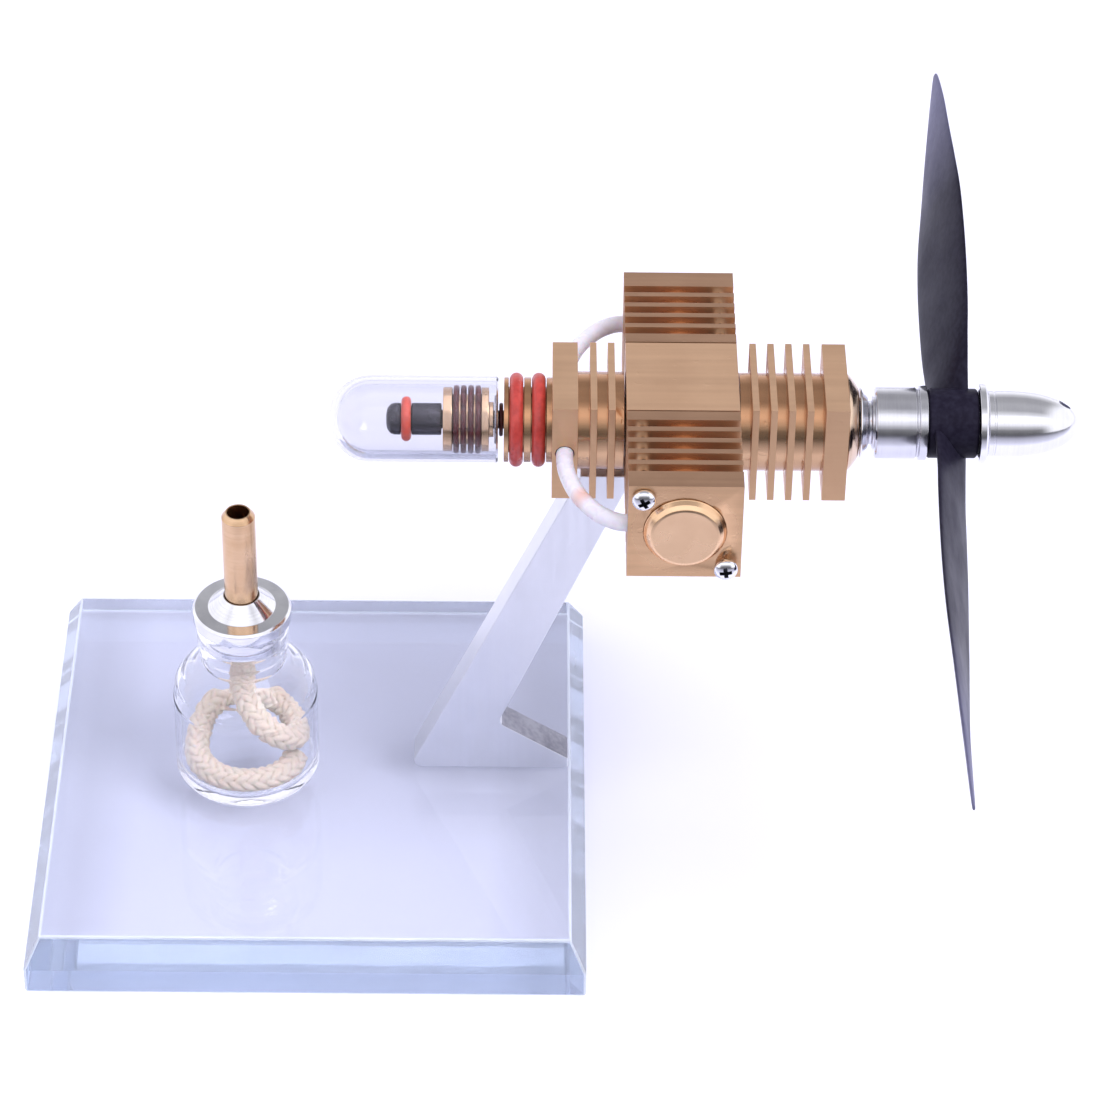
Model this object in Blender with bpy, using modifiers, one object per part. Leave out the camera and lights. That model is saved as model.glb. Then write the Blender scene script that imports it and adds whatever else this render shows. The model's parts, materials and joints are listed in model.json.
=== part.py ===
"""Hot-air (Stirling) engine model on a glass base, with its spirit lamp.

The engine is turned and milled from square brass bar.  Its crankshaft lies
along X, with a propeller at the right end and a glass displacer at the left
end, on the same line.  Two opposed power cylinders lie along Y.  An aluminium
bracket carries the engine over a bevelled glass plate, and a small spirit
lamp with a braided wick stands beside the bracket.

The world origin is the middle of the plate's underside, +Z is up.  The
engine's own frame has its origin where the crankshaft crosses the line of
the cylinders.
"""
import math

import bmesh
import bpy
from mathutils import Vector

MM = 0.001
GAP = 0.3 * MM              # left between pieces that touch
FIT = 0.2 * MM              # left around pins and shafts in their holes

# Base plate
BASE_SIZE = 100 * MM
BASE_HEIGHT = 11 * MM
BASE_BAND = 5.3 * MM        # height of the upright part of the rim
BASE_INSET = 2.8 * MM       # how far the bevel runs in

# Engine: square bar, turned to a round core between the fins
BAR = 19.5 * MM
HALF = BAR / 2
CORE = 8.55 * MM
ENGINE = Vector((65.5 * MM, 1.4 * MM, 90.0 * MM))

# Crank train.  The pistons have the travel of four crank arms.
CRANK_ARM = 1.7 * MM
PIN_RADIUS = 1.3 * MM
WEB_RADIUS = 3.3 * MM
SHAFT_RADIUS = 2.0 * MM
ECCENTRIC_RADIUS = 3.9 * MM
PISTON_RADIUS = 6.0 * MM
CYLINDER_BORE = 6.3 * MM
WRIST_Y = 18.5 * MM         # small end at mid-stroke

# Cylinder block along its own axis, from the crankcase outwards
BLOCK_INNER = HALF + GAP
BLOCK_END = 31.0 * MM
SCREW_OFFSET = 7.1 * MM
PORT_Y = 28.6 * MM
TUBE_RADIUS = 1.5 * MM
PORT_RADIUS = TUBE_RADIUS + FIT
PORT_X = -20.3 * MM         # middle of the port plate

# Cold end and displacer
SPIGOT_RADIUS = 7.45 * MM
SPIGOT_END = -30.9 * MM
SEAL_CENTRES = (-28.75 * MM, -24.85 * MM)
SEAL_SECTION = 1.2 * MM
SEAL_FLOOR = 5.75 * MM
SPINDLE_RADIUS = 1.6 * MM
GLASS_RADIUS = 7.6 * MM
GLASS_BORE = 6.1 * MM
GLASS_RIM = -31.9 * MM
GLASS_END = -61.6 * MM

# Propeller
PROP_RADIUS = 76.2 * MM
PROP_X = 47.35 * MM
PROP_ANGLE = math.radians(19.5)

# Spirit lamp
LAMP = Vector((-12.4 * MM, -0.6 * MM, BASE_HEIGHT + GAP))
BOTTLE_RADIUS = 13.2 * MM
WICK_RADIUS = 2.2 * MM

OBJECT_NAME = "stirling_engine"


# ---------------------------------------------------------------- helpers

def clear_scene():
    for obj in list(bpy.data.objects):
        bpy.data.objects.remove(obj, do_unlink=True)


def make_collection(name):
    collection = bpy.data.collections.new(name)
    bpy.context.scene.collection.children.link(collection)
    return collection


def make_material(name, colour, roughness, metallic=0.0, transmission=0.0):
    material = bpy.data.materials.new(name)
    material.use_nodes = True
    shader = material.node_tree.nodes["Principled BSDF"]
    shader.inputs["Base Color"].default_value = (*colour, 1.0)
    shader.inputs["Roughness"].default_value = roughness
    shader.inputs["Metallic"].default_value = metallic
    shader.inputs["Transmission Weight"].default_value = transmission
    material.diffuse_color = (*colour, 1.0)
    return material


def add_object(name, data, material=None, parent=None, location=(0, 0, 0), rotation=(0, 0, 0)):
    """Put a mesh or curve in the scene; a piece without a material is a cutter."""
    obj = bpy.data.objects.new(name, data)
    obj.location = location
    obj.rotation_euler = rotation
    obj.parent = parent
    if material is None:
        CUTTERS.objects.link(obj)
        obj.hide_render = True
        obj.display_type = "WIRE"
    else:
        PARTS.objects.link(obj)
        data.materials.append(material)
    return obj


def add_empty(name, location, parent=None):
    empty = bpy.data.objects.new(name, None)
    empty.location = location
    empty.parent = parent
    PARTS.objects.link(empty)
    return empty


def box_mesh(name, low, high):
    bm = bmesh.new()
    bmesh.ops.create_cube(bm, size=1.0)
    size = [b - a for a, b in zip(low, high)]
    middle = [(a + b) / 2 for a, b in zip(low, high)]
    bmesh.ops.scale(bm, vec=size, verts=bm.verts)
    bmesh.ops.translate(bm, vec=middle, verts=bm.verts)
    mesh = bpy.data.meshes.new(name)
    bm.to_mesh(mesh)
    bm.free()
    return mesh


def turned(name, profile, steps=32, material=None, closed=False, **place):
    """Turn a profile of (radius, height) around local Z.

    The profile runs down the outer side from the top; a ring's profile is
    closed and comes back up its bore.
    """
    points = [(radius, 0.0, height) for radius, height in profile]
    edges = [(i, i + 1) for i in range(len(points) - 1)]
    if closed:
        edges.append((len(points) - 1, 0))
    mesh = bpy.data.meshes.new(name)
    mesh.from_pydata(points, edges, [])
    obj = add_object(name, mesh, material, **place)
    screw = obj.modifiers.new("turn", "SCREW")
    screw.axis = "Z"
    screw.steps = steps
    screw.render_steps = steps
    screw.use_merge_vertices = True
    screw.merge_threshold = 0.00001
    screw.use_smooth_shade = True
    return obj


def rod_profile(radius, low, high):
    return [(0, high), (radius, high), (radius, low), (0, low)]


def ring_profile(inner, outer, low, high):
    return [(outer, high), (outer, low), (inner, low), (inner, high)]


def torus_profile(centre, section, height=0.0, sides=8):
    """A closed circle of the given section radius, run clockwise."""
    angles = [-2 * math.pi * i / sides for i in range(sides)]
    return [(centre + section * math.cos(a), height + section * math.sin(a)) for a in angles]


def boolean(obj, other, operation="DIFFERENCE"):
    modifier = obj.modifiers.new(operation.lower(), "BOOLEAN")
    modifier.object = other
    modifier.operation = operation
    modifier.solver = "EXACT"


ALONG_X = (0, math.pi / 2, 0)       # local Z points along +X


def along_y(side):
    """Rotation that points local Z outwards along the cylinder on that side."""
    return (-side * math.pi / 2, 0, 0)


def drill(obj, radius, low, high, rotation, location=(0, 0, 0), parent=None, steps=16):
    cutter = turned(f"{obj.name}_drill_{len(obj.modifiers)}", rod_profile(radius, low, high), steps,
                    rotation=rotation, location=location, parent=parent)
    boolean(obj, cutter)


def groove_bar(obj, spans, core, rotation, parent=None):
    """Turn a square bar down to a round core between its fins."""
    for index, (low, high) in enumerate(spans):
        cutter = turned(f"{obj.name}_groove_{index}", ring_profile(core, BAR, low, high), 28,
                        closed=True, rotation=rotation, parent=parent)
        boolean(obj, cutter)


def smooth_curve(points, spacing):
    """Points read at even spacing from a smooth curve through the route."""
    route = [Vector(p) for p in points]
    ends = [2 * route[0] - route[1]] + route + [2 * route[-1] - route[-2]]
    fine = []
    for i in range(1, len(ends) - 2):
        a, b, c, d = ends[i - 1:i + 3]
        for k in range(20):
            t = k / 20
            fine.append(0.5 * (2 * b + (c - a) * t + (2 * a - 5 * b + 4 * c - d) * t ** 2
                               + (3 * b - a - 3 * c + d) * t ** 3))
    fine.append(route[-1])
    length = sum((q - p).length for p, q in zip(fine, fine[1:]))
    count = max(2, round(length / spacing))
    step = length / count
    result = [fine[0]]
    travelled = 0.0
    for p, q in zip(fine, fine[1:]):
        piece = (q - p).length
        while travelled + piece >= step * len(result) and len(result) < count:
            result.append(p.lerp(q, (step * len(result) - travelled) / piece))
        travelled += piece
    result.append(fine[-1])
    return result


def round_tube(name, points, radius, material, parent=None):
    curve = bpy.data.curves.new(name, "CURVE")
    curve.dimensions = "3D"
    curve.bevel_depth = radius
    curve.bevel_resolution = 2
    curve.use_fill_caps = True
    spline = curve.splines.new("POLY")
    spline.points.add(len(points) - 1)
    for target, point in zip(spline.points, points):
        target.co = (*point, 1.0)
    return add_object(name, curve, material, parent=parent)


# ------------------------------------------------------------- base, stand

def build_base(glass):
    half = BASE_SIZE / 2
    mesh = box_mesh("base_plate", (-half, -half, 0), (half, half, BASE_HEIGHT))
    bm = bmesh.new()
    bm.from_mesh(mesh)
    bmesh.ops.bisect_plane(bm, geom=bm.verts[:] + bm.edges[:] + bm.faces[:],
                           plane_co=(0, 0, BASE_BAND), plane_no=(0, 0, 1))
    for vert in bm.verts:
        if vert.co.z > BASE_BAND + MM:
            vert.co.x -= math.copysign(BASE_INSET, vert.co.x)
            vert.co.y -= math.copysign(BASE_INSET, vert.co.y)
    bm.to_mesh(mesh)
    bm.free()
    add_object("base_plate", mesh, glass)


BRACKET_FOOT = (17.5 * MM, 46.8 * MM)       # along X
BRACKET_TIP = 2.4 * MM                      # height of the foot's thin end
BRACKET_CORNER = (33.9 * MM, 11.0 * MM)     # inner corner, above the plate
BRACKET_WIDTH = 9.3 * MM                    # of the leaning bar, along X
BRACKET_LEAN = math.radians(22.2)
BRACKET_THICK = 6 * MM
BRACKET_ROUND = 1.5 * MM    # radius of the inner corner and of the heel


def rounded_corner(before, corner, after, radius, steps=4):
    """Points of an arc that touches both sides of a corner in the plane."""
    corner = Vector(corner)
    to_before = (Vector(before) - corner).normalized()
    to_after = (Vector(after) - corner).normalized()
    half_angle = to_before.angle(to_after) / 2
    centre = corner + (to_before + to_after).normalized() * radius / math.sin(half_angle)
    reach = radius / math.tan(half_angle)
    start = (corner + to_before * reach - centre).normalized()
    end = (corner + to_after * reach - centre).normalized()
    return [centre + start.slerp(end, i / steps) * radius for i in range(steps + 1)]


def build_bracket(aluminium):
    """One plate: a wedge-shaped foot and a bar that leans to the right."""
    bottom = BASE_HEIGHT + GAP
    top = ENGINE.z - HALF - GAP
    height = top - bottom
    left, right = BRACKET_FOOT
    corner_x, corner_z = BRACKET_CORNER
    inner_top = corner_x + (height - corner_z) * math.tan(BRACKET_LEAN)
    toe = (right, BRACKET_TIP)
    inner = (inner_top, height)
    outer = (inner_top - BRACKET_WIDTH, height)
    outline = [(right, 0), toe, *rounded_corner(toe, BRACKET_CORNER, inner, BRACKET_ROUND), inner,
               outer, *rounded_corner(outer, (left, 0), (right, 0), BRACKET_ROUND)]
    curve = bpy.data.curves.new("stand_bracket", "CURVE")
    curve.dimensions = "2D"
    curve.fill_mode = "BOTH"
    curve.extrude = BRACKET_THICK / 2
    spline = curve.splines.new("POLY")
    spline.use_cyclic_u = True
    spline.points.add(len(outline) - 1)
    for point, (x, y) in zip(spline.points, outline):
        point.co = (x, y, 0, 1)
    add_object("stand_bracket", curve, aluminium, location=(0, ENGINE.y, bottom),
               rotation=(math.pi / 2, 0, 0))


# ------------------------------------------------------------ brass bodies

CRANK_CHAMBER = 6.7 * MM    # radius of the cross bore that the rods swing in
LEFT_BUSH_SEAT = 3.2 * MM
RACE_SEAT = 4.0 * MM
SCREW_HOLE = 1.35 * MM
SCREW_DEPTH = 4.5 * MM      # of the screw holes in the crankcase


def build_crankcase(engine, brass):
    mesh = box_mesh("crankcase", (-HALF, -HALF, -HALF), (HALF, HALF, HALF))
    obj = add_object("crankcase", mesh, brass, parent=engine)
    drill(obj, CRANK_CHAMBER, -BAR, BAR, along_y(1), parent=engine, steps=24)
    drill(obj, LEFT_BUSH_SEAT, -BAR, 0, ALONG_X, parent=engine)
    drill(obj, RACE_SEAT, 0, BAR, ALONG_X, parent=engine)
    for side in (-1, 1):
        for up in (-1, 1):
            drill(obj, SCREW_HOLE, HALF - SCREW_DEPTH, BAR, along_y(side),
                  (side * up * SCREW_OFFSET, 0, up * SCREW_OFFSET), engine, 8)


COLD_FINS = ((-15.95 * MM, -14.8 * MM), (-12.85 * MM, -11.65 * MM))
PORT_PLATE = (-22.5 * MM, -18.1 * MM)
SEAL_GROOVE = 2.7 * MM      # width
GLAND_SEAT = 3.9 * MM
COLD_BORE = 5.2 * MM        # the wide bore between the gland and the crankcase
COLD_BORE_END = -17 * MM
GAS_HOLE = 0.5 * MM
GAS_HOLE_OFFSET = 4.85 * MM


def build_cold_end(engine, brass):
    """Port plate, two fins and the spigot that carries the two seals."""
    right = -HALF - GAP
    obj = add_object("cold_end_housing", box_mesh("cold_end_housing", (PORT_PLATE[0], -HALF, -HALF),
                                                  (right, HALF, HALF)), brass, parent=engine)
    edges = [PORT_PLATE[1], *COLD_FINS[0], *COLD_FINS[1], right + GAP]
    groove_bar(obj, list(zip(edges[0::2], edges[1::2])), CORE, ALONG_X, engine)
    profile = [(0, PORT_PLATE[0] + MM), (SPIGOT_RADIUS, PORT_PLATE[0] + MM)]
    for centre in reversed(SEAL_CENTRES):
        high, low = centre + SEAL_GROOVE / 2, centre - SEAL_GROOVE / 2
        profile += [(SPIGOT_RADIUS, high), (SEAL_FLOOR, high), (SEAL_FLOOR, low), (SPIGOT_RADIUS, low)]
    profile += [(SPIGOT_RADIUS, SPIGOT_END), (0, SPIGOT_END)]
    spigot = turned("spigot_blank", profile, 32, rotation=ALONG_X, parent=engine)
    boolean(obj, spigot, "UNION")
    drill(obj, GLAND_SEAT, -2 * BAR, COLD_BORE_END, ALONG_X, parent=engine)
    drill(obj, COLD_BORE, COLD_BORE_END, 0, ALONG_X, parent=engine)
    for side in (-1, 1):
        drill(obj, PORT_RADIUS, GAS_HOLE_OFFSET + 0.75 * MM, BAR, along_y(side), (PORT_X, 0, 0),
              engine, 12)
        drill(obj, GAS_HOLE, -2 * BAR, PORT_X, ALONG_X, (0, side * GAS_HOLE_OFFSET, 0), engine, 8)


NOSE_FIRST = 11.95 * MM     # left face of the first fin
NOSE_PITCH = 3.13 * MM
NOSE_COUNT = 4
FIN = 1.15 * MM
NOSE_PLATE = (24.6 * MM, 28.7 * MM)
NOSE_BORE = 5.0 * MM
NOSE_CAP_BORE = 4.0 * MM


def build_nose(engine, brass):
    left = HALF + GAP
    obj = add_object("nose_housing", box_mesh("nose_housing", (left, -HALF, -HALF),
                                              (NOSE_PLATE[1], HALF, HALF)), brass, parent=engine)
    edges = [left - GAP]
    for index in range(NOSE_COUNT):
        start = NOSE_FIRST + NOSE_PITCH * index
        edges += [start, start + FIN]
    edges.append(NOSE_PLATE[0])
    groove_bar(obj, list(zip(edges[0::2], edges[1::2])), CORE, ALONG_X, engine)
    drill(obj, NOSE_BORE, 0, 2 * BAR, ALONG_X, parent=engine)
    back = NOSE_PLATE[1] + GAP / 2
    front = back + 2.05 * MM
    dome = [(6.0 * MM, front), (7.25 * MM, back + 1.3 * MM), (8.0 * MM, back + 0.7 * MM),
            (8.5 * MM, back), (NOSE_CAP_BORE, back), (NOSE_CAP_BORE, front)]
    turned("nose_cap", dome, 32, brass, closed=True, rotation=ALONG_X, parent=engine)


BLOCK_GROOVE = 1.9 * MM
BLOCK_PITCH = 3.1 * MM
BLOCK_FIRST = 12.5 * MM
BLOCK_GROOVES = 5
HEAD_RADIUS = 7.05 * MM
HEAD_SEAT = 29.9 * MM
BOSS_RADIUS = 5.85 * MM
BOSS_PROUD = 1.75 * MM


def build_cylinder(engine, side, brass, bright_brass):
    """One finned cylinder with its bore, head, port and screw holes."""
    place = "back" if side > 0 else "front"
    low, high = sorted((side * BLOCK_INNER, side * BLOCK_END))
    name = f"cylinder_block_{place}"
    obj = add_object(name, box_mesh(name, (-HALF, low, -HALF), (HALF, high, HALF)), brass,
                     parent=engine)
    starts = [BLOCK_FIRST + BLOCK_PITCH * i for i in range(BLOCK_GROOVES)]
    groove_bar(obj, [(s, s + BLOCK_GROOVE) for s in starts], CORE, along_y(side), engine)
    drill(obj, CYLINDER_BORE, 0, 2 * BAR, along_y(side), parent=engine, steps=24)
    drill(obj, HEAD_RADIUS + FIT / 2, HEAD_SEAT, 2 * BAR, along_y(side), parent=engine, steps=28)
    drill(obj, PORT_RADIUS, -BAR, 0, ALONG_X, (0, side * PORT_Y, 0), engine, 12)
    for up in (-1, 1):
        drill(obj, SCREW_HOLE, 0, 2 * BAR, along_y(side), (side * up * SCREW_OFFSET, 0, up * SCREW_OFFSET),
              engine, 8)
    head = [(0, BLOCK_END + BOSS_PROUD), (BOSS_RADIUS, BLOCK_END + BOSS_PROUD),
            (HEAD_RADIUS, BLOCK_END + GAP / 3), (HEAD_RADIUS, HEAD_SEAT + GAP / 2),
            (0, HEAD_SEAT + GAP / 2)]
    turned(f"cylinder_head_{place}", head, 28, bright_brass, rotation=along_y(side), parent=engine)


SCREW_HEAD_RADIUS = 2.05 * MM
SCREW_HEAD_HEIGHT = 1.5 * MM
SCREW_SHANK = 1.05 * MM
SCREW_TIP = HALF - 3.5 * MM # inside the crankcase
PROUD = 0.8 * MM            # the lower screw isn't driven home


def build_screws(engine, steel):
    for side in (-1, 1):
        place = "back" if side > 0 else "front"
        for up, level in ((1, "upper"), (-1, "lower")):
            base = BLOCK_END + GAP / 2 + (PROUD if up < 0 else 0)
            top = base + SCREW_HEAD_HEIGHT
            profile = [(0, top), (0.6 * SCREW_HEAD_RADIUS, top),
                       (0.92 * SCREW_HEAD_RADIUS, top - SCREW_HEAD_HEIGHT / 3),
                       (SCREW_HEAD_RADIUS, base), (SCREW_SHANK, base), (SCREW_SHANK, SCREW_TIP),
                       (0, SCREW_TIP)]
            turned(f"block_screw_{place}_{level}", profile, 12, steel, rotation=along_y(side),
                   location=(side * up * SCREW_OFFSET, 0, up * SCREW_OFFSET), parent=engine)


# ------------------------------------------------------------- crank train

def union_rods(obj, rods, parent):
    """Add (radius, low, high, offset) cylinders along X to a turned piece."""
    for index, (radius, low, high, offset) in enumerate(rods):
        other = turned(f"{obj.name}_add_{index}", rod_profile(radius, low, high), 16,
                       rotation=ALONG_X, location=(0, 0, offset), parent=parent)
        boolean(obj, other, "UNION")


WEB = 1.2 * MM              # thickness of the outer webs
MIDDLE_WEB = 0.4 * MM       # half the thickness of the middle web
WEB_START = 3.1 * MM        # inner face of each outer web
LEFT_JOURNAL = 1.4 * MM
JOURNAL_END = -8.9 * MM
SHAFT_END = 60.0 * MM


def build_crankshaft(crank, steel):
    """Two pins half a turn apart between three webs, on one long shaft."""
    obj = turned("crankshaft", rod_profile(SHAFT_RADIUS, WEB_START + WEB / 3, SHAFT_END), 16, steel,
                 rotation=ALONG_X, parent=crank)
    pin_end = WEB_START + WEB / 2
    rods = [(WEB_RADIUS, WEB_START, WEB_START + WEB, 0),
            (PIN_RADIUS, MIDDLE_WEB / 2, pin_end, CRANK_ARM),
            (WEB_RADIUS, -MIDDLE_WEB, MIDDLE_WEB, 0),
            (PIN_RADIUS, -pin_end, -MIDDLE_WEB / 2, -CRANK_ARM),
            (WEB_RADIUS, -WEB_START - WEB, -WEB_START, 0),
            (LEFT_JOURNAL, JOURNAL_END, -pin_end, 0)]
    union_rods(obj, rods, crank)


def build_bearings(engine, bronze, steel):
    for name, inner, outer, low, high, material in (
            ("left_main_bush", 1.6, 3.0, -9.3, -6.4, bronze),
            ("inner_ball_race", 2.2, 3.8, 6.5, 9.3, steel),
            ("nose_ball_race", 2.2, 4.8, 24.8, 28.2, steel)):
        turned(name, ring_profile(inner * MM, outer * MM, low * MM, high * MM), 20, material,
               closed=True, rotation=ALONG_X, parent=engine)


BUSH = (0.7 * MM, 2.8 * MM)     # faces of the front bush along X
ROD = (0.8 * MM, 2.7 * MM)      # faces of the front connecting rod
ROD_EYE = 2.1 * MM
WRIST_PIN = 0.9 * MM
PISTON = (15 * MM, 23 * MM)     # skirt and crown, along the cylinder
PISTON_SKIRT = 5.0 * MM         # inner radius
PISTON_CROWN = 21.6 * MM        # underside


def faces_along_x(side, faces):
    """The back cylinder's rod and bush mirror the front ones across the middle web."""
    low, high = faces
    return (-high, -low) if side > 0 else (low, high)


def build_eccentric(crank, side, bronze):
    """Bush on the crank pin; its outer circle is centred on the shaft at mid-stroke."""
    place = "back" if side > 0 else "front"
    low, high = faces_along_x(side, BUSH)
    pin = -side * CRANK_ARM
    hinge = add_empty(f"eccentric_axis_{place}", (0, 0, pin), crank)
    obj = turned(f"eccentric_bush_{place}", rod_profile(ECCENTRIC_RADIUS, low, high), 24, bronze,
                 rotation=ALONG_X, location=(0, 0, -pin), parent=hinge)
    drill(obj, PIN_RADIUS + FIT, -HALF, HALF, ALONG_X, parent=hinge)


def build_piston(engine, side, steel, graphite, aluminium):
    """Piston, wrist pin and connecting rod, which slide together along Y."""
    place = "back" if side > 0 else "front"
    low, high = faces_along_x(side, ROD)
    skirt, crown = PISTON
    profile = [(0, crown), (PISTON_RADIUS, crown), (PISTON_RADIUS, skirt), (PISTON_SKIRT, skirt),
               (PISTON_SKIRT, PISTON_CROWN), (0, PISTON_CROWN)]
    piston = turned(f"piston_{place}", profile, 24, graphite, rotation=along_y(side), parent=engine)
    small_end = (0, side * WRIST_Y, 0)
    drill(piston, WRIST_PIN + FIT, -HALF, HALF, ALONG_X, small_end, engine, 12)
    turned(f"wrist_pin_{place}", rod_profile(WRIST_PIN, -5.6 * MM, 5.6 * MM), 12, steel,
           rotation=ALONG_X, location=small_end, parent=engine)
    rod = turned(f"connecting_rod_{place}", ring_profile(ECCENTRIC_RADIUS + FIT, 5.3 * MM, low, high),
                 24, aluminium, closed=True, rotation=ALONG_X, parent=engine)
    near, far = sorted((side * 4.7 * MM, side * (WRIST_Y - 1.5 * MM)))
    shank = add_object(f"rod_shank_{place}", box_mesh("shank", (low, near, -1.1 * MM),
                                                      (high, far, 1.1 * MM)), parent=engine)
    boolean(rod, shank, "UNION")
    eye = turned(f"rod_eye_{place}", rod_profile(ROD_EYE, low, high), 16, rotation=ALONG_X,
                 location=small_end, parent=engine)
    boolean(rod, eye, "UNION")
    drill(rod, WRIST_PIN + FIT, -HALF, HALF, ALONG_X, small_end, engine, 12)


# --------------------------------------------------------- gas side, seals

# Route in the XY plane, in millimetres, from the port plate out to the cylinder's port
TUBE_ROUTE = ((-20.3, 9.6), (-20.3, 12.0), (-19.9, 15.2), (-19.0, 18.6), (-17.7, 21.8),
              (-16.0, 24.5), (-14.3, 26.5), (-12.4, 27.9), (-10.6, 28.6), (-9.0, 28.6))


def build_tubes(engine, silicone):
    """Silicone tube from each side of the port plate to the cylinder's port."""
    for side, place in ((-1, "front"), (1, "back")):
        route = [(x * MM, side * y * MM, 0) for x, y in TUBE_ROUTE]
        round_tube(f"gas_tube_{place}", smooth_curve(route, 2 * TUBE_RADIUS), TUBE_RADIUS, silicone,
                   engine)


def o_ring(name, x, centre, section, material, parent, sides=8, steps=32):
    turned(name, torus_profile(centre, section, x, sides), steps, material, closed=True,
           rotation=ALONG_X, parent=parent)


def build_seals(engine, red):
    for index, centre in enumerate(SEAL_CENTRES):
        o_ring(f"hot_cap_seal_{index + 1}", centre, SEAL_FLOOR + FIT / 2 + SEAL_SECTION, SEAL_SECTION,
               red, engine, 8, 28)


PLUG_X = (-41.5 * MM, -33.5 * MM)
PLUG_RADIUS = 5.6 * MM
PLUG_FLOOR = 4.4 * MM       # under the four rings
PLUG_BOSS = 3.1 * MM
RING_SECTION = 0.58 * MM    # section radius
SPINDLE_RIGHT = -13.5 * MM


def build_displacer(slide, materials):
    """Hollow glass body on a steel spindle, with its seals and bumper rings."""
    glass, brass, steel, orange, brown = materials
    dome = GLASS_END + GLASS_RADIUS
    outer = [(GLASS_RADIUS, GLASS_RIM), (GLASS_RADIUS, dome)]
    outer += [(GLASS_RADIUS * math.cos(a), dome - GLASS_RADIUS * math.sin(a))
              for a in (math.pi / 2 * i / 7 for i in range(1, 7))]
    outer.append((0, GLASS_END))
    inner = [(0, dome - GLASS_BORE)]
    inner += [(GLASS_BORE * math.cos(a), dome - GLASS_BORE * math.sin(a))
              for a in (math.pi / 2 * i / 5 for i in range(4, 0, -1))]
    inner += [(GLASS_BORE, dome), (GLASS_BORE, GLASS_RIM)]
    turned("displacer_glass", outer + inner, 32, glass, closed=True, rotation=ALONG_X, parent=slide)

    left, right = PLUG_X
    floor_left, floor_right = left + 1.6 * MM, right - 1.3 * MM
    bore = SPINDLE_RADIUS + FIT
    plug = [(PLUG_BOSS, right + 0.8 * MM), (PLUG_BOSS, right), (PLUG_RADIUS, right),
            (PLUG_RADIUS, floor_right), (PLUG_FLOOR, floor_right), (PLUG_FLOOR, floor_left),
            (PLUG_RADIUS, floor_left), (PLUG_RADIUS, left), (bore, left), (bore, right + 0.8 * MM)]
    turned("displacer_plug", plug, 24, brass, closed=True, rotation=ALONG_X, parent=slide)
    for index in range(4):
        x = left + 2.3 * MM + index * 1.27 * MM
        o_ring(f"displacer_seal_{index + 1}", x, GLASS_BORE - FIT / 2 - RING_SECTION, RING_SECTION,
               brown, slide, 6, 20)

    spindle = [(0, SPINDLE_RIGHT), (SPINDLE_RADIUS, SPINDLE_RIGHT), (SPINDLE_RADIUS, left - GAP),
               (2.8 * MM, left - GAP), (2.8 * MM, -47.0 * MM), (2.2 * MM, -47.0 * MM),
               (2.2 * MM, -48.9 * MM), (2.8 * MM, -48.9 * MM), (2.8 * MM, -50.4 * MM),
               (2.3 * MM, -51.2 * MM), (1.2 * MM, -51.45 * MM), (0, -51.45 * MM)]
    turned("displacer_spindle", spindle, 20, steel, rotation=ALONG_X, parent=slide)
    o_ring("spindle_ring", -47.95 * MM, 3.15 * MM, 0.85 * MM, orange, slide, 8, 18)
    turned("bumper_washer", ring_profile(bore, 4.25 * MM, -32.55 * MM, -31.95 * MM),
           20, steel, closed=True, rotation=ALONG_X, parent=slide)
    o_ring("bumper_ring", -31.4 * MM, 2.6 * MM, 0.4 * MM, brown, slide, 6, 18)


def build_gland(engine, bronze):
    turned("spindle_gland", ring_profile(SPINDLE_RADIUS + FIT, 3.7 * MM, SPIGOT_END, -17.5 * MM), 20,
           bronze, closed=True, rotation=ALONG_X, parent=engine)


# ---------------------------------------------------- propeller and spinner

HUB = (42.95 * MM, 51.75 * MM)
HUB_RADIUS = 6.1 * MM
BORE = SHAFT_RADIUS + FIT

# Blade sections: fraction of the radius, chord and thickness in millimetres, pitch in degrees,
# and offset along the shaft in millimetres
BLADE = ((0.05, 10.5, 2.6, 32.4, -0.33), (0.10, 13.3, 2.4, 25.3, -0.38), (0.16, 17.1, 2.1, 20.0, -0.43),
         (0.24, 20.2, 1.9, 18.2, -0.50), (0.34, 21.9, 1.7, 17.2, -0.56), (0.45, 23.0, 1.55, 15.8, -0.62),
         (0.56, 22.4, 1.4, 14.5, -0.58), (0.67, 19.4, 1.25, 12.7, -0.43), (0.77, 16.0, 1.1, 11.1, -0.28),
         (0.86, 12.2, 0.95, 10.0, -0.04), (0.93, 8.0, 0.8, 9.4, 0.14), (0.98, 4.1, 0.65, 9.0, 0.28),
         (1.0, 1.8, 0.5, 9.0, 0.33))
BLADE_SWEEP = 1.85 * MM     # bow of the blade's middle across its length
BLADE_SIDES = 10


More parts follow.
